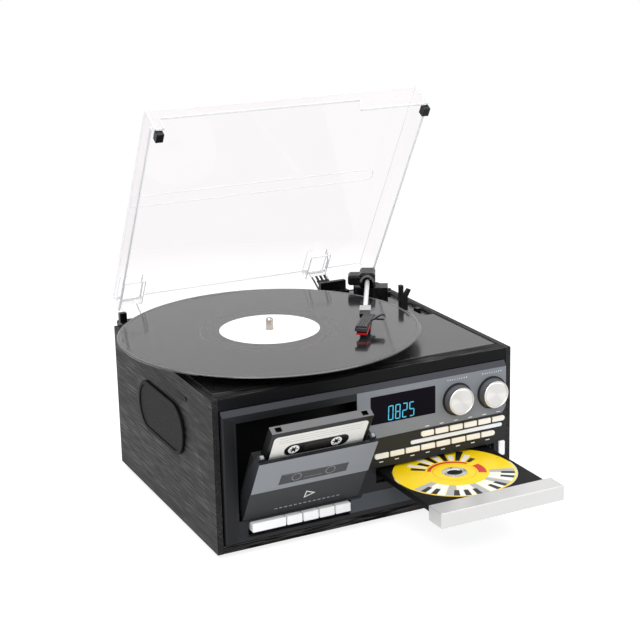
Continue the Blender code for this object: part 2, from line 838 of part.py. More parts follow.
# Forked rest that holds the parked arm
def arm_clip():
    clip_aside = 0.0043
    clip_ahead = 0.0718
    thick = 0.005
    stem_half = 0.0045
    stem_drop = 0.0035
    prong_rise = 0.0097
    prong_right = -0.0005
    lug_rise = 0.005
    lug_right = 0.0085
    lug_left = 0.0055
    foot_half = 0.006
    foot_thick = 0.0015
    clip_x = arm_x + clip_aside
    clip_y = arm_y - clip_ahead
    notch = arm_height
    stem_top = arm_height - stem_drop
    prong_top = arm_height + prong_rise
    lug_top = arm_height + lug_rise
    bottom = case_height + seat_gap
    outline = [
        (-stem_half, bottom), (stem_half, bottom), (stem_half, stem_top), (lug_right, lug_top - thick / 4),
        (lug_left, lug_top), (stem_half / 3, notch), (prong_right, notch + thick / 4), (prong_right, prong_top),
        (-stem_half, prong_top),
    ]
    clip = slab("arm_clip", outline, thick, (clip_x, clip_y, 0), along_y, case, "black_satin")
    join(clip, block("clip_foot", (clip_x - foot_half, clip_y - foot_half, bottom),
                     (clip_x + foot_half, clip_y + foot_half, bottom + foot_thick), case, "black_satin"))


# Front: rows of buttons, each with its drop from the bezel's top to its lower edge
button_travel = 0.001
button_proud = 0.0018
button_depth = 0.0095
upper_row = {"left": 0.0537, "width": 0.0141, "gap": 0.00202, "count": 6, "drop": 0.0610, "height": 0.0053}
lower_row = {"left": 0.0029, "width": 0.0151, "gap": 0.0019, "count": 8, "drop": 0.0746, "height": 0.0052}
eject_left = 0.1423
eject_right = 0.1489
eject_rise = 0.0015
eject_height = 0.015
volume_knob_x = 0.0945
volume_knob_drop = 0.0298
tuning_knob_x = 0.1337
tuning_knob_drop = 0.0297
knob_places = {
    "volume_knob": (volume_knob_x, bezel_top - volume_knob_drop),
    "tuning_knob": (tuning_knob_x, bezel_top - tuning_knob_drop),
}
knob_shaft_radius = 0.003
collar_radius = 0.0165
collar_proud = 0.0015
display_left = -0.0003
display_right = 0.070
display_drop = 0.0396
display_height = 0.0278
display_bottom = bezel_top - display_drop
display_top = display_bottom + display_height
display_thick = 0.002
keys_left = -0.1261
wide_key = 0.0337
narrow_key = 0.0156
key_gap = 0.0012
key_count = 4
key_bottom = 0.0187
key_top = 0.0276
key_travel = 0.004
key_slot_bottom = 0.0132
key_slot_top = 0.0281
key_slot_side = 0.0022


def button_spans():
    spans = {}
    for label, row in (("upper_button", upper_row), ("lower_button", lower_row)):
        for index in range(row["count"]):
            left = row["left"] + index * (row["width"] + row["gap"])
            bottom = bezel_top - row["drop"]
            name = label + "_" + str(index + 1)
            spans[name] = (left, left + row["width"], bottom, bottom + row["height"])
    eject_bottom = slot_bottom + eject_rise
    spans["eject_button"] = (eject_left, eject_right, eject_bottom, eject_bottom + eject_height)
    return spans


def key_spans():
    spans = {"cassette_key_1": (keys_left, keys_left + wide_key)}
    start = keys_left + wide_key + key_gap
    for index in range(key_count):
        left = start + index * (narrow_key + key_gap)
        spans["cassette_key_" + str(index + 2)] = (left, left + narrow_key)
    return spans


def front_bezel():
    chamfer_rise = 0.0053
    edge_chamfer = 0.0015
    pocket_floor = bezel_face + display_thick + seat_gap
    bezel = block("front_bezel", (-bezel_half_width, bezel_face, bezel_bottom),
                  (bezel_half_width, bezel_back, bezel_top), case, "dark_grey")
    length = 2 * bezel_half_width + 2 * overrun
    depth = -bezel_face
    top_cut = slab("bezel_top_chamfer", [(0, -chamfer_rise), (depth, 0), (depth, overrun), (-overrun, overrun),
                                         (-overrun, -chamfer_rise)],
                   length, (0, bezel_face, bezel_top), facing_side, case, "dark_grey")
    side_cut = slab("bezel_side_chamfer", [(-bezel_half_width - overrun, bezel_face - overrun),
                                           (-bezel_half_width + edge_chamfer, bezel_face - overrun),
                                           (-bezel_half_width + edge_chamfer, bezel_face),
                                           (-bezel_half_width, bezel_face + edge_chamfer),
                                           (-bezel_half_width - overrun, bezel_face + edge_chamfer)],
                    2 * case_height, (0, 0, case_height / 2), along_z, case, "dark_grey")
    cut(bezel, top_cut, side_cut)
    join(bezel, block("well_liner", (well_left - liner_wall, bezel_back / 2, well_bottom - liner_wall + seat_gap),
                      (well_right + liner_wall, well_depth, well_top + liner_wall), case, "dark_grey"))
    for name, (x, z) in knob_places.items():
        join(bezel, cylinder(name + "_collar", collar_radius, collar_proud - bezel_face,
                             (x, (bezel_face - collar_proud) / 2, z), along_y, case, "dark_grey", fine_steps))
        cut(bezel, cylinder(name + "_hole", knob_shaft_radius + running_gap, 2 * case_height,
                            (x, 0, z), along_y, case, "dark_grey"))
    keys = key_spans()
    keys_right = keys["cassette_key_" + str(key_count + 1)][1]
    front = bezel_face - overrun
    cut(bezel,
        block("well_cut", (well_left, front, well_bottom), (well_right, well_depth + overrun, well_top),
              case, "dark_grey"),
        block("key_slot", (keys_left - key_slot_side, front, key_slot_bottom),
              (keys_right + key_slot_side, bezel_back + overrun, key_slot_top), case, "dark_grey"),
        block("tray_slot", (slot_left, front, slot_bottom), (slot_right, bezel_back + overrun, slot_top),
              case, "dark_grey"),
        block("display_pocket", (display_left - seat_gap, front, display_bottom - seat_gap),
              (display_right + seat_gap, pocket_floor, display_top + seat_gap), case, "dark_grey"))
    for name, (left, right, bottom, top) in button_spans().items():
        cut(bezel, block(name + "_hole", (left - seat_gap, front, bottom - seat_gap),
                         (right + seat_gap, bezel_back + overrun, top + seat_gap), case, "dark_grey"))


def display_window():
    block("display_window", (display_left, bezel_face, display_bottom),
          (display_right, bezel_face + display_thick, display_top), case, "display")


def buttons():
    rounding = 0.0006
    front = bezel_face - button_proud
    for name, (left, right, bottom, top) in button_spans().items():
        block(name, (left, front, bottom), (right, front + button_depth, top), case, "ivory", rounding)
    key_proud = 0.005
    key_back = 0.0121
    for name, (left, right) in key_spans().items():
        block(name, (left, bezel_face - key_proud, key_bottom), (right, key_back, key_top), case, "ivory", rounding)


def knobs():
    face_radius = 0.0137
    skirt_radius = 0.0148
    face = 0.0097
    face_edge = 0.0006
    dish_radius = 0.0118
    dish = 0.0004
    shaft_back = -0.008
    start = collar_proud + seat_gap
    for name, (x, z) in knob_places.items():
        profile = [(0, face - dish), (dish_radius, face - dish), (dish_radius + dish, face),
                   (face_radius - face_edge, face), (face_radius, face - face_edge), (skirt_radius, start),
                   (knob_shaft_radius, start), (knob_shaft_radius, shaft_back), (0, shaft_back)]
        turned(name, profile, (x, bezel_face, z), along_y, case, "spun_metal", fine_steps)


# Cassette door and cassette, drawn upright in the frame of the door's axis
door_frame = empty("door_axis", (0, door_axis_y, door_axis_z), (door_open, 0, 0), case)
cassette_width = 0.1004
cassette_height = 0.0638
cassette_front = -0.0010
cassette_back = 0.0077
cassette_swell = 0.00165
cassette_rest = 0.0494
cassette_drop = 0.031
hub_pitch = 0.0425
hub_height = 0.035
hub_hole = 0.0048
door_middle = (door_left + door_right) / 2


def cassette_door():
    front = -0.007
    back = -0.004
    bottom = 0.0005
    top = 0.082
    band_proud = 0.0008
    band_bottom = 0.0405
    band_top = 0.081
    window_left = -0.109
    window_right = -0.040
    window_bottom = 0.046
    window_top = 0.0605
    window_depth = 0.001
    rail_bottom = 0.007
    rail_top = 0.078
    lip_width = 0.004
    lip_thick = 0.001
    ledge_thick = 0.0027
    hinge_half = 0.0028
    hinge_bottom = -0.0022
    hinge_width = 0.0042
    pin_radius = 0.0015
    overlap = 0.0003
    rail_inner = cassette_width / 2 + seat_gap
    rail_back = cassette_back + cassette_swell + seat_gap + lip_thick
    ledge_top = cassette_rest - cassette_drop - seat_gap
    door = block("cassette_door", (door_left, front, bottom), (door_right, back, top), door_frame, "dark_grey")
    join(door, block("door_band", (door_left, front - band_proud, band_bottom),
                     (door_right, front + overlap, band_top), door_frame, "dark_grey"))
    cut(door, block("door_window", (window_left, front - band_proud - overrun, window_bottom),
                    (window_right, front - band_proud + window_depth, window_top), door_frame, "dark_grey"))
    for side in (-1, 1):
        outer = door_middle + side * ((door_right - door_left) / 2 - overlap)
        inner = door_middle + side * rail_inner
        lip = inner - side * lip_width
        hinge_inner = outer - side * hinge_width
        wall = door_middle + side * ((door_right - door_left) / 2 + well_gap(side) - seat_gap)
        join(door,
             block("door_rail", (min(outer, inner), back - overlap, rail_bottom),
                   (max(outer, inner), rail_back, rail_top), door_frame, "dark_grey"),
             block("door_lip", (min(inner + side * overlap, lip), rail_back - lip_thick, rail_bottom + overlap),
                   (max(inner + side * overlap, lip), rail_back - overlap / 3, rail_top - overlap),
                   door_frame, "dark_grey"),
             block("door_hinge", (min(outer - side * overlap, hinge_inner), -hinge_half, hinge_bottom),
                   (max(outer - side * overlap, hinge_inner), hinge_half, rail_bottom + hinge_half),
                   door_frame, "dark_grey"),
             cylinder("door_pin", pin_radius, abs(wall - hinge_inner), ((wall + hinge_inner) / 2, 0, 0),
                      along_x, door_frame, "dark_grey"))
    join(door, block("door_ledge", (door_left + 2 * overlap, back - overlap / 2, ledge_top - ledge_thick),
                     (door_right - 2 * overlap, rail_back - overlap, ledge_top), door_frame, "dark_grey"))


# Room between the door's edge and the wall of the well
def well_gap(side):
    if side < 0:
        return door_left - well_left
    return well_right - door_right


def cassette():
    swell_height = 0.0165
    notch_width = 0.006
    notch_depth = 0.004
    notch_thick = 0.005
    notch_inset = 0.0045
    swell_inset = 0.0075
    left = door_middle - cassette_width / 2
    right = door_middle + cassette_width / 2
    top = cassette_rest + cassette_height
    shell = block("cassette", (left, cassette_front, cassette_rest), (right, cassette_back, top),
                  door_frame, "black_satin")
    join(shell, block("cassette_swell", (left + swell_inset, cassette_front - cassette_swell, cassette_rest),
                      (right - swell_inset, cassette_back + cassette_swell, cassette_rest + swell_height),
                      door_frame, "black_satin"))
    middle = (cassette_front + cassette_back) / 2
    for side in (-1, 1):
        x = door_middle + side * hub_pitch / 2
        cut(shell, cylinder("hub_hole", hub_hole, 2 * cassette_height, (x, middle, cassette_rest + hub_height),
                            along_y, door_frame, "black_satin"))
        edge = door_middle + side * (cassette_width / 2 - notch_inset)
        inner = edge - side * notch_width
        cut(shell, block("cassette_notch", (min(edge, inner), middle - notch_thick / 2, top - notch_depth),
                         (max(edge, inner), middle + notch_thick / 2, top + overrun), door_frame, "black_satin"))


def cassette_mechanism():
    back = 0.052
    top_margin = 0.0005
    key_bracket_front = 0.0124
    key_bracket_back = 0.045
    key_bracket_drop = 0.0025
    overlap = 0.001
    spindle = 0.0035
    spindle_front = 0.0135
    front = well_depth + seat_gap
    key_bracket_top = well_bottom - key_bracket_drop
    chassis = block("cassette_mechanism", (well_left, front, key_bracket_top - overlap),
                    (well_right, back, well_top + top_margin), case, "steel")
    join(chassis, block("key_bracket", (well_left + overlap, key_bracket_front, base_thick + seat_gap),
                        (well_right - overlap, key_bracket_back, key_bracket_top), case, "steel"))
    height = door_axis_z + cassette_rest - cassette_drop + hub_height
    for side in (-1, 1):
        join(chassis, cylinder("cassette_spindle", spindle, front + overlap - spindle_front,
                               (door_middle + side * hub_pitch / 2, (front + overlap + spindle_front) / 2, height),
                               along_y, case, "steel"))


# Disc tray, drawn out, with its bar, recess and pickup slot
def cd_tray():
    bar_clearance = 0.0004
    overlap = 0.001
    recess_gap = 0.0006
    pickup_half_width = 0.017
    pickup_front = 0.012
    bar = block("cd_tray", (slot_left + bar_clearance, tray_front, slot_bottom + bar_clearance),
                (slot_right - bar_clearance, tray_front + tray_bar_depth, slot_top - bar_clearance), case, "silver")
    join(bar, block("tray_body", (tray_left, tray_front + tray_bar_depth - overlap, tray_bottom),
                    (tray_right, tray_back, tray_top), case, "black_satin"))
    recess_floor = disc_seat - seat_gap
    cut(bar,
        turned("disc_recess", [(0, tray_top + overrun), (disc_radius + recess_gap, tray_top + overrun),
                               (disc_radius + recess_gap, recess_floor), (0, recess_floor)],
               (disc_x, disc_y, 0), along_z, case, "black_satin", large_steps),
        block("pickup_slot", (disc_x - pickup_half_width, disc_y - pickup_front, tray_bottom - overrun),
              (disc_x + pickup_half_width, tray_back - disc_thick - overrun, tray_top + overrun),
              case, "black_satin"))


def disc():
    hole = 0.0075
    bottom = disc_seat
    top = bottom + disc_thick
    turned("disc", [(hole, top), (disc_radius, top), (disc_radius, bottom), (hole, bottom)],
           (disc_x, disc_y, 0), along_z, case, "disc_print", large_steps, True)


def cd_mechanism():
    left = 0.001
    right = 0.141
    back_wall = 0.0116
    floor_thick = 0.0049
    roof_thick = 0.0057
    mouth_clearance = 0.0002
    leg_width = 0.011
    leg_front = 0.030
    leg_length = 0.140
    back = tray_back + tray_travel + running_gap + back_wall
    bottom = slot_bottom - floor_thick
    top = slot_top + roof_thick
    mouth_depth = tray_front + tray_bar_depth + tray_travel + 2 * running_gap
    front = bezel_back + seat_gap
    chassis = block("cd_mechanism", (left, front, bottom), (right, back, top), case, "steel")
    cut(chassis,
        block("mechanism_mouth",
              (slot_left - mouth_clearance, front - overrun, slot_bottom - mouth_clearance),
              (slot_right + mouth_clearance, mouth_depth, slot_top + mouth_clearance), case, "steel"),
        block("mechanism_channel", (tray_left - running_gap, front, tray_bottom - running_gap),
              (tray_right + running_gap, tray_back + tray_travel + running_gap, slot_top + mouth_clearance),
              case, "steel"))
    for start in (left, right - leg_width):
        join(chassis, block("mechanism_leg", (start, leg_front, base_thick + seat_gap),
                            (start + leg_width, leg_front + leg_length, bottom + leg_width / 4), case, "steel"))


side_panel("left_side_panel", -1)
side_panel("right_side_panel", 1)
top_board()
lower_boards()
power_inlet()
feet()
deck_plate()
switches()
speaker("left_speaker", -1)
speaker("right_speaker", 1)
main_board()
drive()
platter()
lid()
hinge_bracket("left_hinge_bracket", left_bracket_left, left_leaf_left, left_upright_width)
hinge_bracket("right_hinge_bracket", right_bracket_left, right_leaf_left, bracket_width)
tonearm_base()
tonearm_gimbal()
tonearm()
headshell()
cue_lever()
arm_clip()
front_bezel()
display_window()
buttons()
knobs()
cassette_door()
cassette()
cassette_mechanism()
cd_tray()
disc()
cd_mechanism()
bpy.context.view_layer.update()
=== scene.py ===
import json
import math

import bmesh
import bpy
from mathutils import Matrix, Vector


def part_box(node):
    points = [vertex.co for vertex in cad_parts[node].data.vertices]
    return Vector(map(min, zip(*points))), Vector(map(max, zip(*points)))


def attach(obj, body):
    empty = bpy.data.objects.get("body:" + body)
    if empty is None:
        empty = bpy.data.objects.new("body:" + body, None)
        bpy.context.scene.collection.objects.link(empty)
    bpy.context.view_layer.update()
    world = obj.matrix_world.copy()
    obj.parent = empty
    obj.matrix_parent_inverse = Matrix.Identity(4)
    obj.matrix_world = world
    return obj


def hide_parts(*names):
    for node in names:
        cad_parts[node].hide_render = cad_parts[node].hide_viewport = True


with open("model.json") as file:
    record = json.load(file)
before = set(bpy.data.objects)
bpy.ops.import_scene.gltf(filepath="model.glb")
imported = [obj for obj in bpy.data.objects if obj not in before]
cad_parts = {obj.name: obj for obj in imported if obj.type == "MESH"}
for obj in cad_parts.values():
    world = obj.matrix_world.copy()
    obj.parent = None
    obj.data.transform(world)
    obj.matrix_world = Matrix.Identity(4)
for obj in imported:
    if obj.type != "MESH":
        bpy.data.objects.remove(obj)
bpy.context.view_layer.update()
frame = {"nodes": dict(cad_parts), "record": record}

bodyOf = {node: body for body, nodes in frame["record"]["behaviour"]["bodies"].items() for node in nodes}

# Lengths below are millimetres in the case's own frame: x from the middle, y from the front edge
# of the boards towards the back, z from the bottom board's underside
mm = 0.001
halfWidth = 158.0
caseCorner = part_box("left_side_panel")[0]
caseFrame = Matrix.Translation(Vector(caseCorner) + Vector((halfWidth * mm, 0, 0))) @ Matrix.Scale(mm, 4)


def turned(degrees, axis):
    return Matrix.Rotation(math.radians(degrees), 4, axis)


def moved(x, y, z):
    return Matrix.Translation((x, y, z))


lidFrame = caseFrame @ moved(0, 271, 151) @ turned(-58.85, "X")
doorFrame = caseFrame @ moved(0, 2, 34) @ turned(31, "X")
armFrame = caseFrame @ moved(115.5, 220.4, 0) @ turned(-28.9, "Z")
liftFrame = armFrame @ moved(0, 0, 173.5)
shellFrame = liftFrame @ moved(0, -141.3, 0) @ turned(-9.7, "Z") @ moved(5, 0, 0)


def tone(red, green, blue):  # a colour as an image editor names it, 0 to 255
    def linear(value):
        value /= 255
        return value / 12.92 if value <= 0.04045 else ((value + 0.055) / 1.055) ** 2.4
    return (linear(red), linear(green), linear(blue), 1.0)


# Record on its platter, in the case's frame: heights and radii
turntable = {"centre": (-40, 134.8), "recordTop": 163.5, "recordUnder": 161.9, "rim": 150.75, "hole": 4.0,
             "labelRadius": 50.1, "playedTo": 68.8, "spindleFoot": 161.8, "steps": 160}
turntableX, turntableY = turntable["centre"]
# Paler rings in the record's colour along its ridges and near its rim are painted highlights
ringHighlightLines = [(61.0, 0.5), (69.0, 0.7), (147.6, 1.0)]  # radius and half width of the paler rings


# Feeds a socket: an output is linked, a constant is set
def feed(tree, value, socket):
    if isinstance(value, bpy.types.NodeSocket):
        tree.links.new(value, socket)
    else:
        socket.default_value = value


# Adds a shader node with its settings, feeds its sockets and gives back one output
def addNode(tree, kind, output, sockets, **settings):
    node = tree.nodes.new("ShaderNode" + kind)
    for key, value in settings.items():
        setattr(node, key, value)
    for label, value in sockets.items():
        feed(tree, value, node.inputs[label])
    return node.outputs[output]


def mathNode(tree, operation, *values):
    return addNode(tree, "Math", 0, dict(enumerate(values)), operation=operation)


def vectorNode(tree, operation, *values):
    output = "Value" if operation == "LENGTH" else "Vector"
    return addNode(tree, "VectorMath", output, dict(enumerate(values)), operation=operation)


def rampNode(tree, value, low, high, fromLow=0.0, fromHigh=1.0):
    return addNode(tree, "MapRange", "Result", {"Value": value, "From Min": fromLow, "From Max": fromHigh,
                                                "To Min": low, "To Max": high})


def mixNode(tree, factor, first, second):
    return addNode(tree, "Mix", "Result", {"Factor": factor, "A": first, "B": second}, data_type="RGBA")


def shaderMix(tree, factor, first, second):
    return addNode(tree, "MixShader", 0, {0: factor, 1: first, 2: second})


def bumpNode(tree, height, distance, strength=1.0):
    return addNode(tree, "Bump", "Normal", {"Height": height, "Distance": distance, "Strength": strength})


def noiseNode(tree, vector, scale, detail):
    return addNode(tree, "TexNoise", "Fac", {"Vector": vector, "Scale": scale, "Detail": detail})


def lineNoiseNode(tree, value, scale):  # noise along one value
    sockets = {"W": value, "Scale": scale, "Detail": 2.0}
    return addNode(tree, "TexNoise", "Fac", sockets, noise_dimensions="1D")


def objectPlace(tree):
    return addNode(tree, "TexCoord", "Object", {})


# Shader node groups that several materials share
surfaceOutputs = [("Colour", "NodeSocketColor"), ("Roughness", "NodeSocketFloat"),
                  ("Normal", "NodeSocketVector")]


def newGroup(name, inputs, outputs):
    group = bpy.data.node_groups.new(name, "ShaderNodeTree")
    for label, kind, value in inputs:
        socket = group.interface.new_socket(label, in_out="INPUT", socket_type=kind)
        socket.default_value = value
    for label, kind in outputs:
        group.interface.new_socket(label, in_out="OUTPUT", socket_type=kind)
    return group, group.nodes.new("NodeGroupInput").outputs, group.nodes.new("NodeGroupOutput").inputs


def buildMouldedTexture():  # fine mottling of moulded or painted surfaces
    group, given, result = newGroup(
        "mouldedTexture",
        [("Colour", "NodeSocketColor", (0.5, 0.5, 0.5, 1)), ("Mottle", "NodeSocketFloat", 0.1),
         ("Roughness", "NodeSocketFloat", 0.4), ("Scale", "NodeSocketFloat", 900.0),
         ("Grain Height", "NodeSocketFloat", 0.1)], surfaceOutputs)
    place = objectPlace(group)
    fine = noiseNode(group, place, given["Scale"], 2.0)
    uneven = mathNode(group, "SUBTRACT", noiseNode(group, place, 22.0, 4.0), 0.5)
    brightness = mathNode(group, "ADD", mathNode(group, "MULTIPLY", uneven, given["Mottle"]), 1.0)
    sockets = {0: given["Colour"], "Scale": brightness}
    feed(group, addNode(group, "VectorMath", "Vector", sockets, operation="SCALE"), result["Colour"])
    change = mathNode(group, "MULTIPLY", uneven, 0.12)
    feed(group, mathNode(group, "ADD", given["Roughness"], change), result["Roughness"])
    feed(group, bumpNode(group, fine, 0.0001, given["Grain Height"]), result["Normal"])
    return group


def buildWoodGrain():  # dark foil with paler pores drawn out along one axis
    group, given, result = newGroup(
        "woodGrain",
        [("Dark", "NodeSocketColor", (0, 0, 0, 1)), ("Pale", "NodeSocketColor", (0.1, 0.1, 0.1, 1)),
         ("Stretch", "NodeSocketVector", (1, 1, 1)), ("Height", "NodeSocketFloat", 0.3)], surfaceOutputs)
    stretched = vectorNode(group, "MULTIPLY", objectPlace(group), given["Stretch"])
    fibre = noiseNode(group, stretched, 760.0, 6.0)
    figure = noiseNode(group, stretched, 60.0, 5.0)
    pores = rampNode(group, fibre, 0.0, 1.0, 0.48, 0.58)
    wave = rampNode(group, figure, 0.35, 1.0, 0.38, 0.62)
    mask = mathNode(group, "MULTIPLY", pores, wave)
    feed(group, mixNode(group, mask, given["Dark"], given["Pale"]), result["Colour"])
    feed(group, rampNode(group, mask, 0.58, 0.42), result["Roughness"])
    feed(group, bumpNode(group, fibre, 0.0003, given["Height"]), result["Normal"])
    return group


def buildTurnedRings():  # fine rings about an axis of the piece, as in a record's grooves
    group, given, result = newGroup(
        "turnedRings",
        [("Centre", "NodeSocketVector", (0, 0, 0)), ("Keep", "NodeSocketVector", (1, 1, 0)),
         ("Scale", "NodeSocketFloat", 1000.0), ("Height", "NodeSocketFloat", 0.2)],
        [("Radius", "NodeSocketFloat"), ("Rings", "NodeSocketFloat"), ("Normal", "NodeSocketVector")])
    offset = vectorNode(group, "SUBTRACT", objectPlace(group), given["Centre"])
    radius = vectorNode(group, "LENGTH", vectorNode(group, "MULTIPLY", offset, given["Keep"]))
    rings = lineNoiseNode(group, radius, given["Scale"])
    feed(group, radius, result["Radius"])
    feed(group, rings, result["Rings"])
    feed(group, bumpNode(group, rings, 0.0001, given["Height"]), result["Normal"])
    return group


mouldedTexture = buildMouldedTexture()
woodGrain = buildWoodGrain()
turnedRings = buildTurnedRings()


def blankMaterial(name):
    material = bpy.data.materials.new(name)
    material.use_nodes = True
    tree = material.node_tree
    return material, tree, tree.nodes["Principled BSDF"]


def placeGroup(tree, group, **values):
    node = tree.nodes.new("ShaderNodeGroup")
    node.node_tree = group
    for label, value in values.items():
        node.inputs[label.replace("_", " ")].default_value = value
    return node


def linkTexture(tree, texture, shader, labels=("Colour", "Roughness", "Normal")):
    for label in labels:
        feed(tree, texture.outputs[label], shader.inputs["Base Color" if label == "Colour" else label])


# Moulded or painted material: how far colour and surface vary, and the sizes of the grain
def moulded(name, colour, roughness, metallic=0.0, mottle=0.25, scale=900.0, height=0.1, specular=0.5,
            coat=0.0):
    material, tree, shader = blankMaterial(name)
    texture = placeGroup(tree, mouldedTexture, Colour=colour, Mottle=mottle, Roughness=roughness,
                         Scale=scale, Grain_Height=height)
    linkTexture(tree, texture, shader)
    shader.inputs["Metallic"].default_value = metallic
    shader.inputs["Specular IOR Level"].default_value = specular
    shader.inputs["Coat Weight"].default_value = coat
    return material


def woodMaterial(name, stretch, dark, pale, shine):
    material, tree, shader = blankMaterial(name)
    grain = placeGroup(tree, woodGrain, Dark=dark, Pale=pale, Stretch=stretch, Height=0.4)
    linkTexture(tree, grain, shader)
    shader.inputs["Specular IOR Level"].default_value = shine
    return material


# Clear plastic whose shadow stays faint
def clearMaterial(name, colour, bending, roughness):
    material, tree, shader = blankMaterial(name)
    texture = placeGroup(tree, mouldedTexture, Colour=colour, Mottle=0.02, Roughness=roughness,
                         Scale=60.0, Grain_Height=0.02)
    linkTexture(tree, texture, shader, ("Colour", "Normal"))
    shader.inputs["Roughness"].default_value = roughness
    shader.inputs["IOR"].default_value = bending
    shader.inputs["Transmission Weight"].default_value = 1.0
    through = addNode(tree, "BsdfTransparent", 0, {"Color": (0.95, 0.95, 0.95, 1)})
    path = tree.nodes.new("ShaderNodeLightPath")
    lets = mathNode(tree, "MAXIMUM", path.outputs["Is Shadow Ray"], path.outputs["Is Diffuse Ray"])
    mixed = shaderMix(tree, lets, shader.outputs[0], through)
    feed(tree, mixed, tree.nodes["Material Output"].inputs["Surface"])
    return material


def vinylMaterial(name):  # grooves: rings in the bump and in the sheen
    material, tree, shader = blankMaterial(name)
    centre = tuple(caseFrame @ Vector((turntableX, turntableY, turntable["recordTop"])))
    rings = placeGroup(tree, turnedRings, Centre=centre, Keep=(1, 1, 0), Scale=500.0, Height=0.01)
    bands = lineNoiseNode(tree, rings.outputs["Radius"], 130.0)
    lines = None
    # the paler rings are painted highlights
    for radius, width in ringHighlightLines:
        line = mathNode(tree, "COMPARE", rings.outputs["Radius"], radius * mm, width * mm)
        lines = line if lines is None else mathNode(tree, "MAXIMUM", lines, line)
    shade = mathNode(tree, "ADD", mathNode(tree, "MULTIPLY", bands, 0.12),
                     mathNode(tree, "MULTIPLY", lines, 0.3))
    feed(tree, mixNode(tree, shade, tone(30, 29, 31), tone(112, 112, 113)), shader.inputs["Base Color"])
    shader.inputs["Specular IOR Level"].default_value = 0.8
    inside = mathNode(tree, "LESS_THAN", rings.outputs["Radius"], turntable["playedTo"] * mm)
    sheen = rampNode(tree, rings.outputs["Rings"], 0.1, 0.12)
    for part, amount in ((inside, 0.05), (lines, 0.2)):
        sheen = mathNode(tree, "ADD", sheen, mathNode(tree, "MULTIPLY", part, amount))
    feed(tree, sheen, shader.inputs["Roughness"])
    feed(tree, rings.outputs["Normal"], shader.inputs["Normal"])
    return material


def spunMaterial(name, colour, axis, roughness, height, stretched):  # spun metal, its sheen drawn out
    material, tree, shader = blankMaterial(name)
    texture = placeGroup(tree, mouldedTexture, Colour=colour, Mottle=0.04, Roughness=roughness,
                         Scale=3000.0, Grain_Height=height)
    linkTexture(tree, texture, shader)
    shader.inputs["Metallic"].default_value = 0.9
    shader.inputs["Anisotropic"].default_value = stretched
    feed(tree, addNode(tree, "Tangent", 0, {}, direction_type="RADIAL", axis=axis), shader.inputs["Tangent"])
    return material


def meshMaterial(name):  # perforated grille
    material, tree, shader = blankMaterial(name)
    cells = {"Vector": objectPlace(tree), "Scale": 420.0, "Randomness": 0.0}
    hole = rampNode(tree, addNode(tree, "TexVoronoi", "Distance", cells, feature="F1"), 0.0, 1.0, 0.28, 0.36)
    feed(tree, mixNode(tree, hole, tone(3, 3, 3), tone(14, 14, 15)), shader.inputs["Base Color"])
    shader.inputs["Specular IOR Level"].default_value = 0.08
    feed(tree, rampNode(tree, hole, 0.9, 0.45), shader.inputs["Roughness"])
    feed(tree, bumpNode(tree, hole, 0.0004), shader.inputs["Normal"])
    return material


def litMaterial(name, colour, strength):  # display segments
    material = moulded(name, colour, 0.4, mottle=0.05)
    shader = material.node_tree.nodes["Principled BSDF"]
    shader.inputs["Emission Color"].default_value = colour
    shader.inputs["Emission Strength"].default_value = strength
    return material


materials = {
    "woodSide": woodMaterial("woodSide", (1.5, 0.035, 1.5), tone(10, 10, 11), tone(54, 53, 54), 0.2),
    "woodTop": woodMaterial("woodTop", (0.035, 1.2, 1.3), tone(6, 6, 7), tone(84, 82, 80), 0.05),
    "segmentCyan": litMaterial("segmentCyan", tone(66, 166, 200), 0.4),
    "spunFace": spunMaterial("spunFace", tone(208, 207, 205), "Y", 0.3, 0.1, 0.85),
    "vinyl": vinylMaterial("vinyl"),
    "clearLid": clearMaterial("clearLid", tone(250, 248, 249), 1.16, 0.015),
    "clearRim": clearMaterial("clearRim", tone(228, 229, 231), 1.08, 0.2),
    "grilleMesh": meshMaterial("grilleMesh"),
}

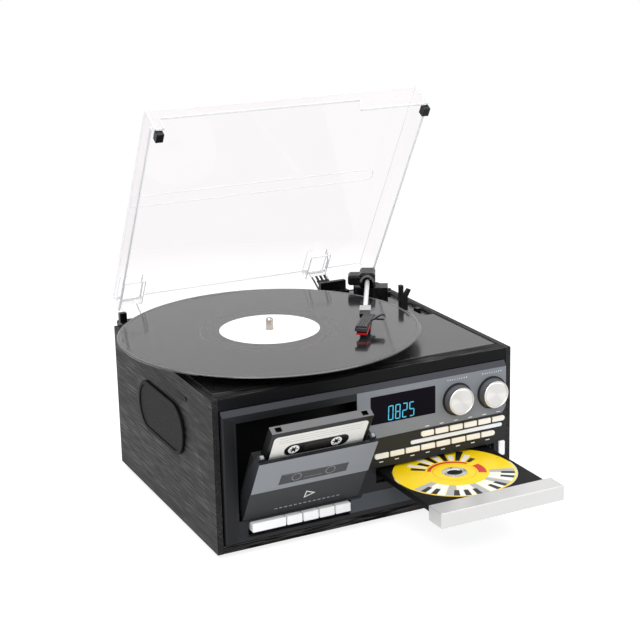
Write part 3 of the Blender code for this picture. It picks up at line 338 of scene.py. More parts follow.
# Moulded and painted finishes: colour, roughness, then what differs from the usual values
mouldedFinishes = {
    "woodEdge": ((15, 15, 17), 0.45, {"mottle": 0.3, "scale": 500, "specular": 0.1}),
    "deckSatin": ((34, 34, 36), 0.28, {"mottle": 0.15, "scale": 1500, "specular": 0.75}),
    "blackSatin": ((8, 8, 9), 0.32, {"specular": 0.16}),
    "blackMatte": ((9, 9, 10), 0.6, {"specular": 0.12}),
    # painted shade: near-black for what lies inside the cassette well
    "wellBlack": ((8, 8, 9), 0.5, {"specular": 0.15}),
    "bezelGrey": ((32, 33, 36), 0.42, {"mottle": 0.15, "specular": 0.2}),
    "frameGrey": ((28, 28, 32), 0.4, {"mottle": 0.08, "specular": 0.18}),
    # painted highlight: the bezel's upward sloping chamfers take this paler grey
    "chamferGrey": ((54, 55, 61), 0.35, {"mottle": 0.08, "specular": 0.25}),
    "panelGrey": ((122, 126, 132), 0.4, {"mottle": 0.06, "scale": 2400, "specular": 0.3}),
    "bandOlive": ((42, 42, 40), 0.4, {"mottle": 0.08, "specular": 0.15}),
    "lowerGrey": ((74, 77, 82), 0.4, {"mottle": 0.06, "scale": 2400, "specular": 0.2}),
    "doorBand": ((130, 133, 138), 0.36, {"mottle": 0.05, "scale": 2400, "specular": 0.3}),
    "doorDark": ((33, 34, 38), 0.4, {"mottle": 0.1, "specular": 0.18}),
    "windowGlow": ((98, 100, 104), 0.3, {"mottle": 0.3, "scale": 300}),
    "windowGrey": ((46, 47, 50), 0.2, {"mottle": 0.35, "scale": 300, "specular": 0.3}),
    "ivory": ((238, 235, 226), 0.35, {"mottle": 0.03, "scale": 1200, "height": 0.05}),
    "keyWhite": ((246, 246, 246), 0.3, {"mottle": 0.03, "scale": 1200, "height": 0.05}),
    "barSilver": ((206, 205, 204), 0.32, {"metallic": 0.5, "mottle": 0.05, "scale": 3000, "height": 0.12}),
    "pillSilver": ((226, 231, 238), 0.3, {"metallic": 0.15, "mottle": 0.03}),
    "trayDark": ((11, 11, 12), 0.5, {"specular": 0.1}),
    "rubber": ((22, 22, 22), 0.75, {"scale": 600, "height": 0.3}),
    "steel": ((150, 150, 152), 0.4, {"metallic": 1.0}),
    "brass": ((200, 170, 96), 0.35, {"metallic": 1.0}),
    "greenBoard": ((20, 92, 48), 0.45, {}),
    "displayGlass": ((9, 6, 15), 0.2, {"mottle": 0.05, "specular": 0.05}),
    "markWhite": ((226, 228, 230), 0.5, {"mottle": 0.03}),
    "markGrey": ((150, 152, 156), 0.5, {"mottle": 0.03}),
    "knobSide": ((98, 99, 103), 0.34, {"metallic": 0.25, "mottle": 0.05}),
    "cassetteBlack": ((16, 16, 18), 0.3, {"mottle": 0.1, "specular": 0.25}),
    # painted highlight: a paler grey on the top faces of the black cassette
    "cassetteEdge": ((100, 100, 101), 0.45, {"mottle": 0.1, "specular": 0.3}),
    "tapeBrown": ((34, 29, 27), 0.3, {"mottle": 0.1}),
    "hubWhite": ((238, 238, 236), 0.4, {"mottle": 0.03}),
    "labelPaper": ((226, 224, 218), 0.6, {"mottle": 0.06, "scale": 1800, "height": 0.1}),
    "recordLabel": ((250, 250, 249), 0.6, {"mottle": 0.02, "scale": 600, "height": 0.02}),
    "spindleSteel": ((176, 168, 160), 0.24, {"metallic": 1.0, "mottle": 0.05}),
    "armSilver": ((238, 238, 239), 0.28, {"metallic": 0.45, "mottle": 0.04}),
    "collarGrey": ((176, 177, 178), 0.4, {"metallic": 0.2, "mottle": 0.05}),
    "archGrey": ((104, 105, 107), 0.35, {"metallic": 0.4, "mottle": 0.05}),
    "shellGrey": ((56, 57, 60), 0.35, {"mottle": 0.1, "specular": 0.3}),
    "guardRed": ((226, 14, 12), 0.3, {"mottle": 0.05}),
    # painted reflections: pale strips along the clear lid's edges and hinge sockets
    "edgePale": ((250, 250, 251), 0.4, {"mottle": 0.02}),
    "edgeGrey": ((246, 247, 248), 0.4, {"mottle": 0.02}),
    "mirror": ((222, 224, 228), 0.14, {"metallic": 1.0, "mottle": 0.03, "height": 0.02}),
    "discYellow": ((252, 214, 10), 0.3, {"mottle": 0.03}),
    "discGrey": ((196, 198, 200), 0.25, {"metallic": 0.4, "mottle": 0.04}),
    "discOrange": ((228, 128, 34), 0.3, {"mottle": 0.04, "coat": 0.3}),
    "printWhite": ((238, 238, 232), 0.35, {"mottle": 0.03}),
    "printBlack": ((24, 24, 26), 0.35, {"mottle": 0.05}),
    "printRed": ((206, 38, 34), 0.35, {"mottle": 0.05}),
    "printGrey": ((176, 178, 178), 0.35, {"mottle": 0.05}),
}
for finishName, (colour, roughness, settings) in mouldedFinishes.items():
    materials[finishName] = moulded(finishName, tone(*colour), roughness, **settings)


def paint(verts, index):
    for face in {face for vert in verts for face in vert.link_faces}:
        face.material_index = index


def addBox(bm, low, high, index=0):
    made = bmesh.ops.create_cube(bm, size=1)["verts"]
    bmesh.ops.scale(bm, vec=[b - a for a, b in zip(low, high)], verts=made)
    bmesh.ops.translate(bm, vec=[(a + b) / 2 for a, b in zip(low, high)], verts=made)
    paint(made, index)
    return made


# Puts a flat point and a height along the axis "x", "y" or "z" in order
def along(axis, first, second, height):
    return {"x": (height, first, second), "y": (first, height, second), "z": (first, second, height)}[axis]


def thicken(bm, faces, axis, rise, index):
    for face in faces:
        face.material_index = index
    made = bmesh.ops.extrude_face_region(bm, geom=faces)["geom"]
    lifted = [item for item in made if isinstance(item, bmesh.types.BMVert)]
    bmesh.ops.translate(bm, vec=along(axis, 0, 0, rise), verts=lifted)
    paint(lifted, index)


def addPlate(bm, outline, axis, low, high, index=0):
    face = bm.faces.new([bm.verts.new(along(axis, a, b, low)) for a, b in outline])
    thicken(bm, [face], axis, high - low, index)


# A frame between two outlines with as many corners each
def addRing(bm, outer, inner, axis, low, high, index=0):
    outside = [bm.verts.new(along(axis, a, b, low)) for a, b in outer]
    inside = [bm.verts.new(along(axis, a, b, low)) for a, b in inner]
    faces = []
    for here in range(len(outer)):
        there = (here + 1) % len(outer)
        faces.append(bm.faces.new((outside[here], outside[there], inside[there], inside[here])))
    thicken(bm, faces, axis, high - low, index)


def addSpun(bm, profile, centre, axis, steps, index=0):
    upward = along(axis, 0, 0, 1)
    before = set(bm.faces)
    points = [bm.verts.new(Vector(centre) + Vector(along(axis, radius, 0, height)))
              for radius, height in profile]
    edges = [bm.edges.new(pair) for pair in zip(points, points[1:])]
    bmesh.ops.spin(bm, geom=points + edges, cent=centre, axis=upward, angle=2 * math.pi, steps=steps,
                   use_merge=True)
    for face in set(bm.faces) - before:
        face.material_index = index


def arcPoints(centre, radius, start, end, steps):  # angles in degrees, both ends included
    angles = [math.radians(start + (end - start) * step / steps) for step in range(steps + 1)]
    return [(centre[0] + radius * math.cos(angle), centre[1] + radius * math.sin(angle)) for angle in angles]


def boxOutline(left, bottom, right, top):
    return [(left, bottom), (right, bottom), (right, top), (left, top)]


def roundedOutline(left, bottom, right, top, radii, steps=5):  # radii from the lower left, anticlockwise
    points = []
    for (x, z), start, radius in zip(boxOutline(left, bottom, right, top), (180, 270, 0, 90), radii):
        centre = (x + radius if x == left else x - radius, z + radius if z == bottom else z - radius)
        points += arcPoints(centre, radius, start, start + 90, steps)
    return points


# Turns a bmesh in one frame into a piece of the visual model, its place in its mesh
def finishPiece(name, bm, place, finishes, carrier, stands=(), angle=30, bevel=0.0, segments=2, merge=0.002):
    bmesh.ops.remove_doubles(bm, verts=bm.verts, dist=merge)
    bmesh.ops.recalc_face_normals(bm, faces=bm.faces)
    bm.transform(place)
    mesh = bpy.data.meshes.new(name)
    bm.to_mesh(mesh)
    bm.free()
    return settle(name, mesh, finishes, carrier, stands, angle, bevel, segments)


def settle(name, mesh, finishes, carrier, stands, angle, bevel, segments):
    piece = bpy.data.objects.new(name, mesh)
    bpy.context.scene.collection.objects.link(piece)
    for label in finishes:
        mesh.materials.append(materials[label])
    mesh.shade_smooth()
    mesh.set_sharp_from_angle(angle=math.radians(angle))
    if bevel:
        rounding = piece.modifiers.new("rounding", "BEVEL")
        rounding.width = bevel * mm
        rounding.segments = segments
        rounding.limit_method = "ANGLE"
        rounding.angle_limit = math.radians(angle)
        rounding.harden_normals = True
    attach(piece, bodyOf[carrier])
    if stands:
        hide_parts(*stands)
    return piece


seamReach = 0.000004  # metres within which a CAD mesh's doubled corners are one


# A copy of a CAD node with its seams merged and its edges rounded, which stands for it.
# choose gives a face's material from its middle and normal in the named frame
def dress(node, finishes, bevel=0.35, segments=2, angle=30, place=caseFrame, choose=None):
    finishes = [finishes] if isinstance(finishes, str) else finishes
    bm = bmesh.new()
    bm.from_mesh(frame["nodes"][node].data)
    bmesh.ops.remove_doubles(bm, verts=bm.verts, dist=seamReach)
    bmesh.ops.dissolve_limit(bm, angle_limit=math.radians(1), verts=bm.verts, edges=bm.edges)
    if choose:
        back = place.inverted()
        turnBack = back.to_3x3()
        for face in bm.faces:
            facing = (turnBack @ face.normal).normalized()
            face.material_index = choose(back @ face.calc_center_median(), facing)
    mesh = bpy.data.meshes.new(node + "Shape")
    bm.to_mesh(mesh)
    bm.free()
    return settle(node + "Shape", mesh, finishes, node, (node,), angle, bevel, segments)


# Plain pieces that keep the CAD model's form: finish and rounding in millimetres
plainNodes = {
    "left_side_panel": ("woodSide", 0.6), "right_side_panel": ("woodSide", 0.6),
    "bottom_board": ("woodTop", 0.6), "back_panel": ("blackMatte", 0.3), "deck_plate": ("deckSatin", 0.4),
    "power_inlet": ("blackSatin", 0.3), "main_board": ("greenBoard", 0), "drive_motor": ("steel", 0.4),
    # the cassette mechanism takes the well's painted shade
    "cassette_mechanism": ("wellBlack", 0.3), "cd_mechanism": ("steel", 0.3), "motor_pulley": ("brass", 0.15),
    "drive_belt": ("rubber", 0), "left_hinge_bracket": ("blackSatin", 0.4),
    "right_hinge_bracket": ("blackSatin", 0.4), "tonearm_base": ("blackSatin", 0.4),
    "tonearm_gimbal": ("blackSatin", 1.1), "cue_lever": ("blackSatin", 0.3), "arm_clip": ("blackSatin", 0.4),
    "speed_switch": ("blackSatin", 0.25), "auto_stop_switch": ("blackSatin", 0.25),
    "foot_front_left": ("rubber", 0.5), "foot_front_right": ("rubber", 0.5),
    "foot_back_left": ("rubber", 0.5), "foot_back_right": ("rubber", 0.5),
}
for nodeName, (finishName, rounding) in plainNodes.items():
    dress(nodeName, finishName, rounding)
dress("top_board", ["woodTop", "woodEdge"], 0.8, choose=lambda middle, facing: int(facing.y < -0.5))
dress("headshell", "blackSatin", 0.3, place=shellFrame)
tubeEnds = {"tube": -109.9, "collar": -127.05}  # how far along the arm its tube and its collar reach
dress("tonearm", ["armSilver", "collarGrey", "blackSatin"], 0.25, place=liftFrame,
      choose=lambda middle, facing: sum(middle.y <= end for end in tubeEnds.values()))
print("plain pieces dressed")


# Platter, record and its label
def platterChoice(middle, facing):
    away = math.hypot(middle.x - turntableX, middle.y - turntableY)
    return int(middle.z > turntable["spindleFoot"] and away < turntable["hole"])


def buildRecord():
    keys = ("recordTop", "recordUnder", "rim", "labelRadius", "hole")
    top, under, rim, label, hole = (turntable[key] for key in keys)
    groove = top - 0.35
    paper = top - 0.1
    bm = bmesh.new()
    centre = (turntableX, turntableY, 0)
    face = [(radius, paper) for radius in (hole, 6.5, 11, 18, 28, 39, label)]
    addSpun(bm, [(hole, under)] + face, centre, "z", turntable["steps"], 1)
    profile = [(label, paper), (label + 0.3, groove), (60.6, groove), (60.8, groove + 0.05),
               (61.2, groove + 0.05), (61.4, groove), (68.8, groove), (69.2, groove + 0.1),
               (rim - 4.6, groove + 0.1), (rim - 4.2, groove), (rim - 3.4, top - 0.05),
               (rim - 1.3, top - 0.02), (rim - 0.4, top - 0.35), (rim, (top + under) / 2),
               (rim - 0.4, under + 0.3), (rim - 1.6, under), (hole, under)]
    addSpun(bm, profile, centre, "z", turntable["steps"], 0)
    finishPiece("recordDisc", bm, caseFrame, ["vinyl", "recordLabel"], "record", ("record",), angle=4,
                merge=0.0005)


dress("platter", ["blackSatin", "spindleSteel"], 0.4, choose=platterChoice)
buildRecord()

# Lid: where its bumpers, knuckles and rim end in its own frame, the widths of the pale lines, painted
# reflections where its edges and its hinge sockets show, the corners of the band across it, a painted
# reflection, and the black tongues in its right socket
lidParts = {"bumperTop": 5.95, "bumperBack": -243, "knuckleFront": -12, "knuckleTop": 12, "knuckleReach": 142,
            "rimTop": 22}
lidOutline = {"strip": 0.7, "socketStrip": 0.4, "bandEdge": 0.8, "inset": 0.06, "shortest": 2}
# corners of a pale ring across the lid, a painted reflection
lidReflectionBand = {"left": -144.6, "front": -146.5, "right": 127.8, "back": -131.5}
hingeTongues = {"left": 84.5, "offsets": (0, 5, 10), "width": 3}


def isBumper(middle):
    return middle.z < lidParts["bumperTop"] and middle.y < lidParts["bumperBack"]


def isKnuckle(middle):
    beside = abs(middle.x) < lidParts["knuckleReach"]
    return beside and middle.y > lidParts["knuckleFront"] and middle.z < lidParts["knuckleTop"]


def lidChoice(middle, facing):
    if isBumper(middle) or isKnuckle(middle):
        return 1
    return 2 if facing.z < -0.5 and middle.z < lidParts["rimTop"] else 0


# Pale strips just inside the clear lid along its sharp edges: painted reflections of the light its edges bend
# and reflect
def lidEdges():
    bm = bmesh.new()
    bm.from_mesh(frame["nodes"]["lid"].data)
    bmesh.ops.remove_doubles(bm, verts=bm.verts, dist=seamReach)
    bmesh.ops.dissolve_limit(bm, angle_limit=math.radians(20), verts=bm.verts, edges=bm.edges)
    bm.transform(lidFrame.inverted())
    small = [face for face in bm.faces if isBumper(face.calc_center_median())]
    bmesh.ops.delete(bm, geom=small, context="FACES")
    bmesh.ops.triangulate(bm, faces=[face for face in bm.faces if len(face.verts) > 4])
    bmesh.ops.dissolve_limit(bm, angle_limit=math.radians(1), verts=bm.verts, edges=bm.edges)
    spans = []
    for edge in bm.edges:  # each strip lies just inside the clear wall
        if len(edge.link_faces) != 2 or edge.calc_face_angle(0) <= math.radians(25):
            continue
        ends = [vert.co for vert in edge.verts]
        socket = all(end.y > -24 and end.z < 28 for end in ends) and edge.calc_length() < 40
        half = lidOutline["socketStrip" if socket else "strip"] / 2
        inward = sum((face.normal for face in edge.link_faces), Vector()) * -(half + lidOutline["inset"])
        spans.append((ends[0] + inward, ends[1] + inward, half, int(socket)))
    bm.free()
    bm = bmesh.new()
    for first, last, half, index in spans:
        length = (last - first).length
        if length < lidOutline["shortest"]:
            continue
        made = bmesh.ops.create_cube(bm, size=1)["verts"]
        bmesh.ops.scale(bm, vec=(2 * half, 2 * half, length), verts=made)
        facing = (last - first).to_track_quat("Z", "Y").to_matrix()
        bmesh.ops.rotate(bm, verts=made, cent=(0, 0, 0), matrix=facing)
        bmesh.ops.translate(bm, vec=(first + last) / 2, verts=made)
        paint(made, index)
    finishPiece("lidEdges", bm, lidFrame, ["edgeGrey", "edgePale"], "lid", merge=0.00001)


def buildLid():
    dress("lid", ["clearLid", "blackSatin", "clearRim"], 0, place=lidFrame, choose=lidChoice)
    lidEdges()
    # a pale band across the lid, a painted reflection
    edge = lidOutline["bandEdge"]
    left, front, right, back = lidReflectionBand.values()
    outer = roundedOutline(left, front, right, back, (0.2, 7.4, 7.4, 0.2), 8)
    inner = roundedOutline(left + 0.4, front + edge, right - edge, back - edge, (0.2, 6.7, 6.7, 0.2), 8)
    bm = bmesh.new()
    addRing(bm, outer, inner, "z", 32.8, 33.2)
    finishPiece("lidReflectionBand", bm, lidFrame, ["edgeGrey"], "lid")
    bm = bmesh.new()
    left, offsets, width = hingeTongues.values()
    for offset in offsets:  # thin, because the bracket stands close behind them when the lid is shut
        addBox(bm, (left + offset, -3.2, 3), (left + offset + width, -2.7, 22))
    addBox(bm, (left - 1, -3.15, 2), (left + offsets[-1] + width + 1, -2.6, 15))
    finishPiece("hingeTongues", bm, lidFrame, ["blackSatin"], "lid", ("lid",), bevel=0.2)


buildLid()
print("turntable and lid built")


# Front: the grey panels laid over the bezel
def bezelChoice(middle, facing):
    # chamfers that slope upwards get a paler grey, a painted highlight
    if facing.z > 0.3 and facing.y < -0.3:
        return 1
    # faces behind the front, inside the well, get near-black painted shade
    return 2 if middle.y > 3 and facing.y < 0.5 else 0


bezelFace = -3.5
frontPanels = {
    "soundPanel": {"finish": "panelGrey", "proud": 0.4, "outline": [
        (-14.4, 132.5), (-14.4, 84.0), (52.2, 84.9), (145.5, 84.9), (148.2, 87.5), (150.2, 92.0),
        (150.2, 132.5)]},
    "buttonPanel": {"finish": "bandOlive", "proud": 0.2, "outline": [
        (-14.4, 83.8), (-14.4, 57.0), (140.6, 57.0), (150.2, 60.0), (150.2, 91.6), (148.4, 87.2),
        (145.7, 84.6), (52.2, 84.6)]},
    "lowerStrip": {"finish": "lowerGrey", "proud": 0.3, "outline": [
        (-9.9, 31.1), (-12.0, 27.6), (-22.6, 27.6), (-24.2, 14.3), (148.2, 14.3), (148.2, 31.1)]},
    "keyRidge": {"finish": "doorDark", "proud": 0.5, "outline": [
        (-139.4, 30.4), (-136.4, 14.6), (-129.4, 14.6), (-130.4, 28.4), (-134.6, 30.4)]},
    "leftStrip": {"finish": "frameGrey", "proud": 0.3, "outline": [
        (-148.9, 10.2), (-139.6, 10.2), (-139.6, 127.9), (-148.9, 132.5)]},
    "upperStrip": {"finish": "bezelGrey", "proud": 0.25, "outline": [
        (-148.6, 132.6), (-139.4, 128.1), (-14.7, 128.1), (-14.7, 132.6)]},
}

# Small marks beside each control, in place of words
markRows = [
    {"count": 8, "first": 8.2, "pitch": 17.0, "width": 4.4, "low": 59.3, "high": 60.1, "front": -3.86},
    {"count": 6, "first": 58.7, "pitch": 16.12, "width": 4.2, "low": 86.4, "high": 87.1, "front": -4.06},
]
knobs = {"volume_knob": (94.5, 108.2), "tuning_knob": (133.7, 108.3)}


def buildFront():
    dress("front_bezel", ["bezelGrey", "chamferGrey", "wellBlack"], 0.3, choose=bezelChoice)
    for label, panel in frontPanels.items():
        bm = bmesh.new()
        addPlate(bm, panel["outline"], "y", bezelFace - panel["proud"], bezelFace + 0.05)
        finishPiece(label, bm, caseFrame, [panel["finish"]], "front_bezel", bevel=0.12)
    bm = bmesh.new()
    addPlate(bm, roundedOutline(42.3, 71.3, 145.5, 75.0, (1.84,) * 4, 6), "y", bezelFace - 1.1, bezelFace)
    finishPiece("silverBar", bm, caseFrame, ["pillSilver"], "front_bezel", bevel=0.3, segments=3)
    bm = bmesh.new()
    for row in markRows:
        for step in range(row["count"]):
            x = row["first"] + step * row["pitch"]
            addBox(bm, (x, row["front"], row["low"]), (x + row["width"], row["front"] + 0.2, row["high"]))
    for middle, _ in knobs.values():
        for step in range(-4, 5):
            x = middle + 2.6 * step
            addBox(bm, (x - 0.35, -4.06, 128.2), (x + 0.35, -3.86, 128.9 + 0.12 * abs(step)))
    finishPiece("panelMarks", bm, caseFrame, ["markWhite"], "front_bezel")


displayDigits = {"text": "0825", "left": 18.0, "pitch": 7.6, "foot": 100.2, "width": 5.6, "height": 14.6,
                 "stroke": 0.95, "lean": 0.6}


def buildDisplay():
    bm = bmesh.new()
    addPlate(bm, roundedOutline(-0.3, 98.4, 70.0, 126.2, (0.8,) * 4, 3), "y", -4.1, -2.0)
    finishPiece("displayGlass", bm, caseFrame, ["displayGlass"], "display_window", ("display_window",),
                bevel=0.15)
    lit = {"0": "abcdef", "2": "abged", "5": "afgcd", "8": "abcdefg"}
    width, height, stroke, lean = (displayDigits[key] for key in ("width", "height", "stroke", "lean"))
    half, inset, tip = height / 2, width - stroke, height - 0.5
    bars = {
        "a": (stroke, height - stroke, inset, height), "d": (stroke, 0, inset, stroke),
        "g": (stroke, half - stroke / 2, inset, half + stroke / 2),
        "f": (0, half + 0.3, stroke, tip), "e": (0, 0.5, stroke, half - 0.3),
        "b": (inset, half + 0.3, width, tip), "c": (inset, 0.5, width, half - 0.3),
    }
    bm = bmesh.new()
    foot = displayDigits["foot"]
    for place, character in enumerate(displayDigits["text"]):
        left = displayDigits["left"] + place * displayDigits["pitch"]
        for key in lit[character]:
            outline = [(left + x + lean * z / height, foot + z) for x, z in boxOutline(*bars[key])]
            addPlate(bm, outline, "y", -4.2, -4.05)
    finishPiece("displayDigits", bm, caseFrame, ["segmentCyan"], "display_window")


buttonRows = {"upper_button": (6, 2.55), "lower_button": (8, 2.5)}  # how many, and the rows' end radius
buttonRadius = 0.6
ejectRibs = {"count": 6, "first": 1.6, "pitch": 2.2, "height": 1.1, "inset": 1.1}


def buildButtons():
    for label, (count, endRadius) in buttonRows.items():
        for index in range(1, count + 1):
            node = label + "_" + str(index)
            low, high = (caseFrame.inverted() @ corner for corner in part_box(node))
            first = endRadius if index == 1 else buttonRadius
            last = endRadius if index == count else buttonRadius
            outline = roundedOutline(low.x, low.z, high.x, high.z, (first, last, last, first), 6)
            bm = bmesh.new()
            addPlate(bm, outline, "y", low.y, high.y)
            finishPiece(node + "Cap", bm, caseFrame, ["ivory"], node, (node,), bevel=0.45, segments=3)
    low, high = (caseFrame.inverted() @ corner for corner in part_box("eject_button"))
    bm = bmesh.new()
    addPlate(bm, roundedOutline(low.x, low.z, high.x, high.z, (1.2,) * 4, 5), "y", low.y + 0.4, high.y)
    inset = ejectRibs["inset"]
    for rib in range(ejectRibs["count"]):
        z = low.z + ejectRibs["first"] + rib * ejectRibs["pitch"]
        addBox(bm, (low.x + inset, low.y, z), (high.x - inset, low.y + 1, z + ejectRibs["height"]))
    finishPiece("ejectCap", bm, caseFrame, ["keyWhite"], "eject_button", ("eject_button",), bevel=0.25)
    for index in range(1, 6):
        dress("cassette_key_" + str(index), "keyWhite", 0.6, 3)


def buildKnobs():
    front = bezelFace - 9.7
    profile = [(0, front + 0.5), (8, front + 0.35), (11.6, front + 0.15), (12.2, front + 0.45), (12.6, front),
               (13.2, front), (13.7, front + 0.5), (14.0, front + 3.5), (14.8, front + 7.9), (3, front + 7.9),
               (3, 4.5), (0, 4.5)]
    faceRadius = 13.6
    for node, (x, z) in knobs.items():
        bm = bmesh.new()
        addSpun(bm, profile, (x, 0, z), "y", 96)
        for face in bm.faces:
            middle = face.calc_center_median()
            if math.hypot(middle.x - x, middle.z - z) > faceRadius:
                face.material_index = 1
        finishPiece(node + "Cap", bm, caseFrame, ["spunFace", "knobSide"], node, (node,), angle=24)


buildFront()
buildDisplay()
buildButtons()
buildKnobs()
print("front built")

# Cassette door with its band, its window with two reels behind it, and its marks
doorLayout = {"band": (-134.2, 40.5, -15.4, 82.0), "windowBack": (-109.5, 45.8, -39.2, 61.6),
              "reels": (-91.5, -57.5), "reelZ": 53.6, "reelRadii": (5.2, 4.0),
              "cheeks": ((-134.1, -132.6), (-17.0, -15.5)), "tabs": ((-133.4, -127.0), (-22.6, -16.2)),
              "marks": 14, "markLeft": -104, "markPitch": 4.9, "markWidth": 2.9}


def buildDoor():
    # the door's faces behind its front take the well's painted shade
    dress("cassette_door", ["doorDark", "wellBlack"], 0.3, place=doorFrame,
          choose=lambda middle, facing: int(middle.y > -3.9))
    window = [(-108.6, 46.6), (-40.2, 47.2), (-40.0, 59.6), (-108.0, 61.0)]
    bm = bmesh.new()
    addRing(bm, boxOutline(*doorLayout["band"]), window, "y", -8.3, -7.7)
    finishPiece("doorBand", bm, doorFrame, ["doorBand"], "cassette_door", bevel=0.25)
    bm = bmesh.new()
    addPlate(bm, boxOutline(*doorLayout["windowBack"]), "y", -7.95, -7.2)
    for x in doorLayout["reels"]:
        outer, inner = (arcPoints((x, doorLayout["reelZ"]), radius, 0, 360, 32)[:-1]
                        for radius in doorLayout["reelRadii"])
        addRing(bm, outer, inner, "y", -8.0, -7.9, 1)
    addBox(bm, (-83.5, -8.0, 50.2), (-65.5, -7.9, 50.9), 1)
    addBox(bm, (-106.5, -8.0, 59.2), (-42.5, -7.9, 59.7), 1)
    finishPiece("doorWindow", bm, doorFrame, ["windowGrey", "windowGlow"], "cassette_door")
    bm = bmesh.new()
    cheek = [(-4.3, 3.0), (3.5, 6.0), (8.2, 20.0), (8.2, 58.0), (2.5, 78.0), (-4.3, 80.0)]
    for low, high in doorLayout["cheeks"]:
        addPlate(bm, cheek, "x", low, high)
    for low, high in doorLayout["tabs"]:
        addBox(bm, (low, -4.4, 76.0), (high, 0.6, 84.6))
        addBox(bm, (low + 1.6, -4.0, 84.4), (high - 1.6, -1.0, 86.6), 1)
    finishPiece("doorCheeks", bm, doorFrame, ["doorDark", "markGrey"], "cassette_door", bevel=0.3)
    bm = bmesh.new()
    outer = [(-76.2, 16.9), (-65.2, 21.8), (-75.4, 27.0)]
    inner = [(-75.2, 18.5), (-67.6, 21.8), (-74.6, 25.4)]
    addRing(bm, outer, inner, "y", -7.15, -6.98)
    finishPiece("playMark", bm, doorFrame, ["markWhite"], "cassette_door")
    bm = bmesh.new()
    for step in range(doorLayout["marks"]):
        x = doorLayout["markLeft"] + step * doorLayout["markPitch"]
        addBox(bm, (x, -7.12, 8.4), (x + doorLayout["markWidth"], -6.98, 9.5))
    finishPiece("doorMarks", bm, doorFrame, ["markGrey"], "cassette_door")


cassetteLayout = {"left": -125.0, "right": -24.6, "top": 113.2, "hubs": (-99.0, -56.5), "hubZ": 86.6}


def buildCassette():
    left, right, top, hubs, hubZ = cassetteLayout.values()
    # upward faces along the cassette's top get a paler grey, a painted highlight
    dress("cassette", ["cassetteBlack", "cassetteEdge"], 0.4, place=doorFrame,
          choose=lambda middle, facing: int(facing.z > 0.7 and middle.z > top - 1))
    paper = roundedOutline(left + 3.4, top - 48, right - 3.4, top - 5.6, (3, 3, 4, 4), 6)
    opening = roundedOutline(-108.2, hubZ - 7.3, -44.0, hubZ + 7.3, (7.2,) * 4, 8)
    bm = bmesh.new()
    addPlate(bm, paper, "y", -1.2, -1.0, 0)
    addPlate(bm, opening, "y", -1.32, -1.15, 1)
    addPlate(bm, boxOutline(-88.5, hubZ - 4.6, -61.1, hubZ + 4.6), "y", -1.4, -1.3, 2)
    for step in range(3):
        z = top - 9 - 3 * step
        addBox(bm, (left + 9, -1.28, z), (right - 9, -1.19, z + 0.25), 3)
    finishPiece("cassetteLabel", bm, doorFrame, ["labelPaper", "cassetteBlack", "tapeBrown", "markGrey"],
                "cassette")
    bm = bmesh.new()
    for x in hubs:
        addSpun(bm, [(5.4, -1.5), (5.4, -1.3), (3.9, -1.3), (3.9, -1.55), (5.4, -1.5)], (x, 0, hubZ), "y", 40)
        for tooth in range(6):
            made = addBox(bm, (x - 0.8, -1.5, hubZ + 2.3), (x + 0.8, -1.2, hubZ + 4.2))
            turn = Matrix.Rotation(tooth * math.pi / 3, 3, "Y")
            bmesh.ops.rotate(bm, verts=made, cent=(x, 0, hubZ), matrix=turn)
    finishPiece("cassetteHubs", bm, doorFrame, ["hubWhite"], "cassette")


buildDoor()
buildCassette()
print("cassette side built")

# Tray, and the disc with a made-up print of bars and keys
trayBarBack = -102.6  # the silver bar ends here
dress("cd_tray", ["barSilver", "trayDark"], 0.7, 3, choose=lambda middle, facing: int(middle.y > trayBarBack))
discPlace = {"x": 68.8, "y": -41.8, "top": 51.4, "radius": 60.0, "hole": 7.5, "thickness": 1.2}


def addSector(bm, inner, outer, start, end, low, high, index):
    steps = max(2, int(abs(end - start) / 4))
    centre = (discPlace["x"], discPlace["y"])
    outline = arcPoints(centre, outer, start, end, steps) + arcPoints(centre, inner, start, end, steps)[::-1]
    addPlate(bm, outline, "z", low, high, index)


def buildDisc():
    x, y, top, radius, hole, thickness = discPlace.values()
    centre = (x, y, 0)
    face, under = top - 0.1, top - thickness
    bm = bmesh.new()
    rings = [(hole, 1), (11.6, 2), (12.4, 0), (20.4, 3), (20.9, 0), (radius - 1.1, 1), (radius, None)]
    for (start, index), (end, _) in zip(rings, rings[1:]):
        addSpun(bm, [(start, face), (end, face)], centre, "z", 120, index)
    addSpun(bm, [(radius, face), (radius, under), (hole, under), (hole, face)], centre, "z", 120, 1)
    finishPiece("discBody", bm, caseFrame, ["discYellow", "mirror", "discGrey", "discOrange"], "disc",
                ("disc",))
    low, high = top - 0.11, top - 0.04
    bm = bmesh.new()
    for key in range(13):  # keys round the front of the disc
        start = -162 + key * 11
        addSector(bm, 33, 57, start, start + 10.2, low, high, 0 if key % 3 else 3)
    for key in range(12):
        if key % 7 in (2, 6):
            continue
        start = -162 + key * 11
        addSector(bm, 44, 57, start + 7.6, start + 13.4, high, high + 0.03, 1)
    for bar, length in enumerate((9, 15, 22, 12, 18, 25, 14, 20, 10, 17, 12)):  # level bars round the back
        start = 28 + bar * 11
        addSector(bm, 28, 30 + length, start, start + 8, low, high, 0 if bar % 2 else 1)
    addSector(bm, 22.6, 26.0, 30, 150, low, high, 2)
    addSector(bm, 22.6, 30.5, -32, 12, low, high, 2)
    finishPiece("discPrint", bm, caseFrame, ["printWhite", "printBlack", "printRed", "printGrey"], "disc",
                merge=0.0005)


buildDisc()
print("tray and disc built")

# Tonearm details: the arch round the tube, the ribbed shell, the red guard and the finger lift
armArch = {"height": 173.5, "outside": 8.0, "inside": 5.6, "front": -14.8, "back": -13.9}
shellRibs = {"places": (-3.9, -1.3, 1.3, 3.9), "halfWidth": 0.75}


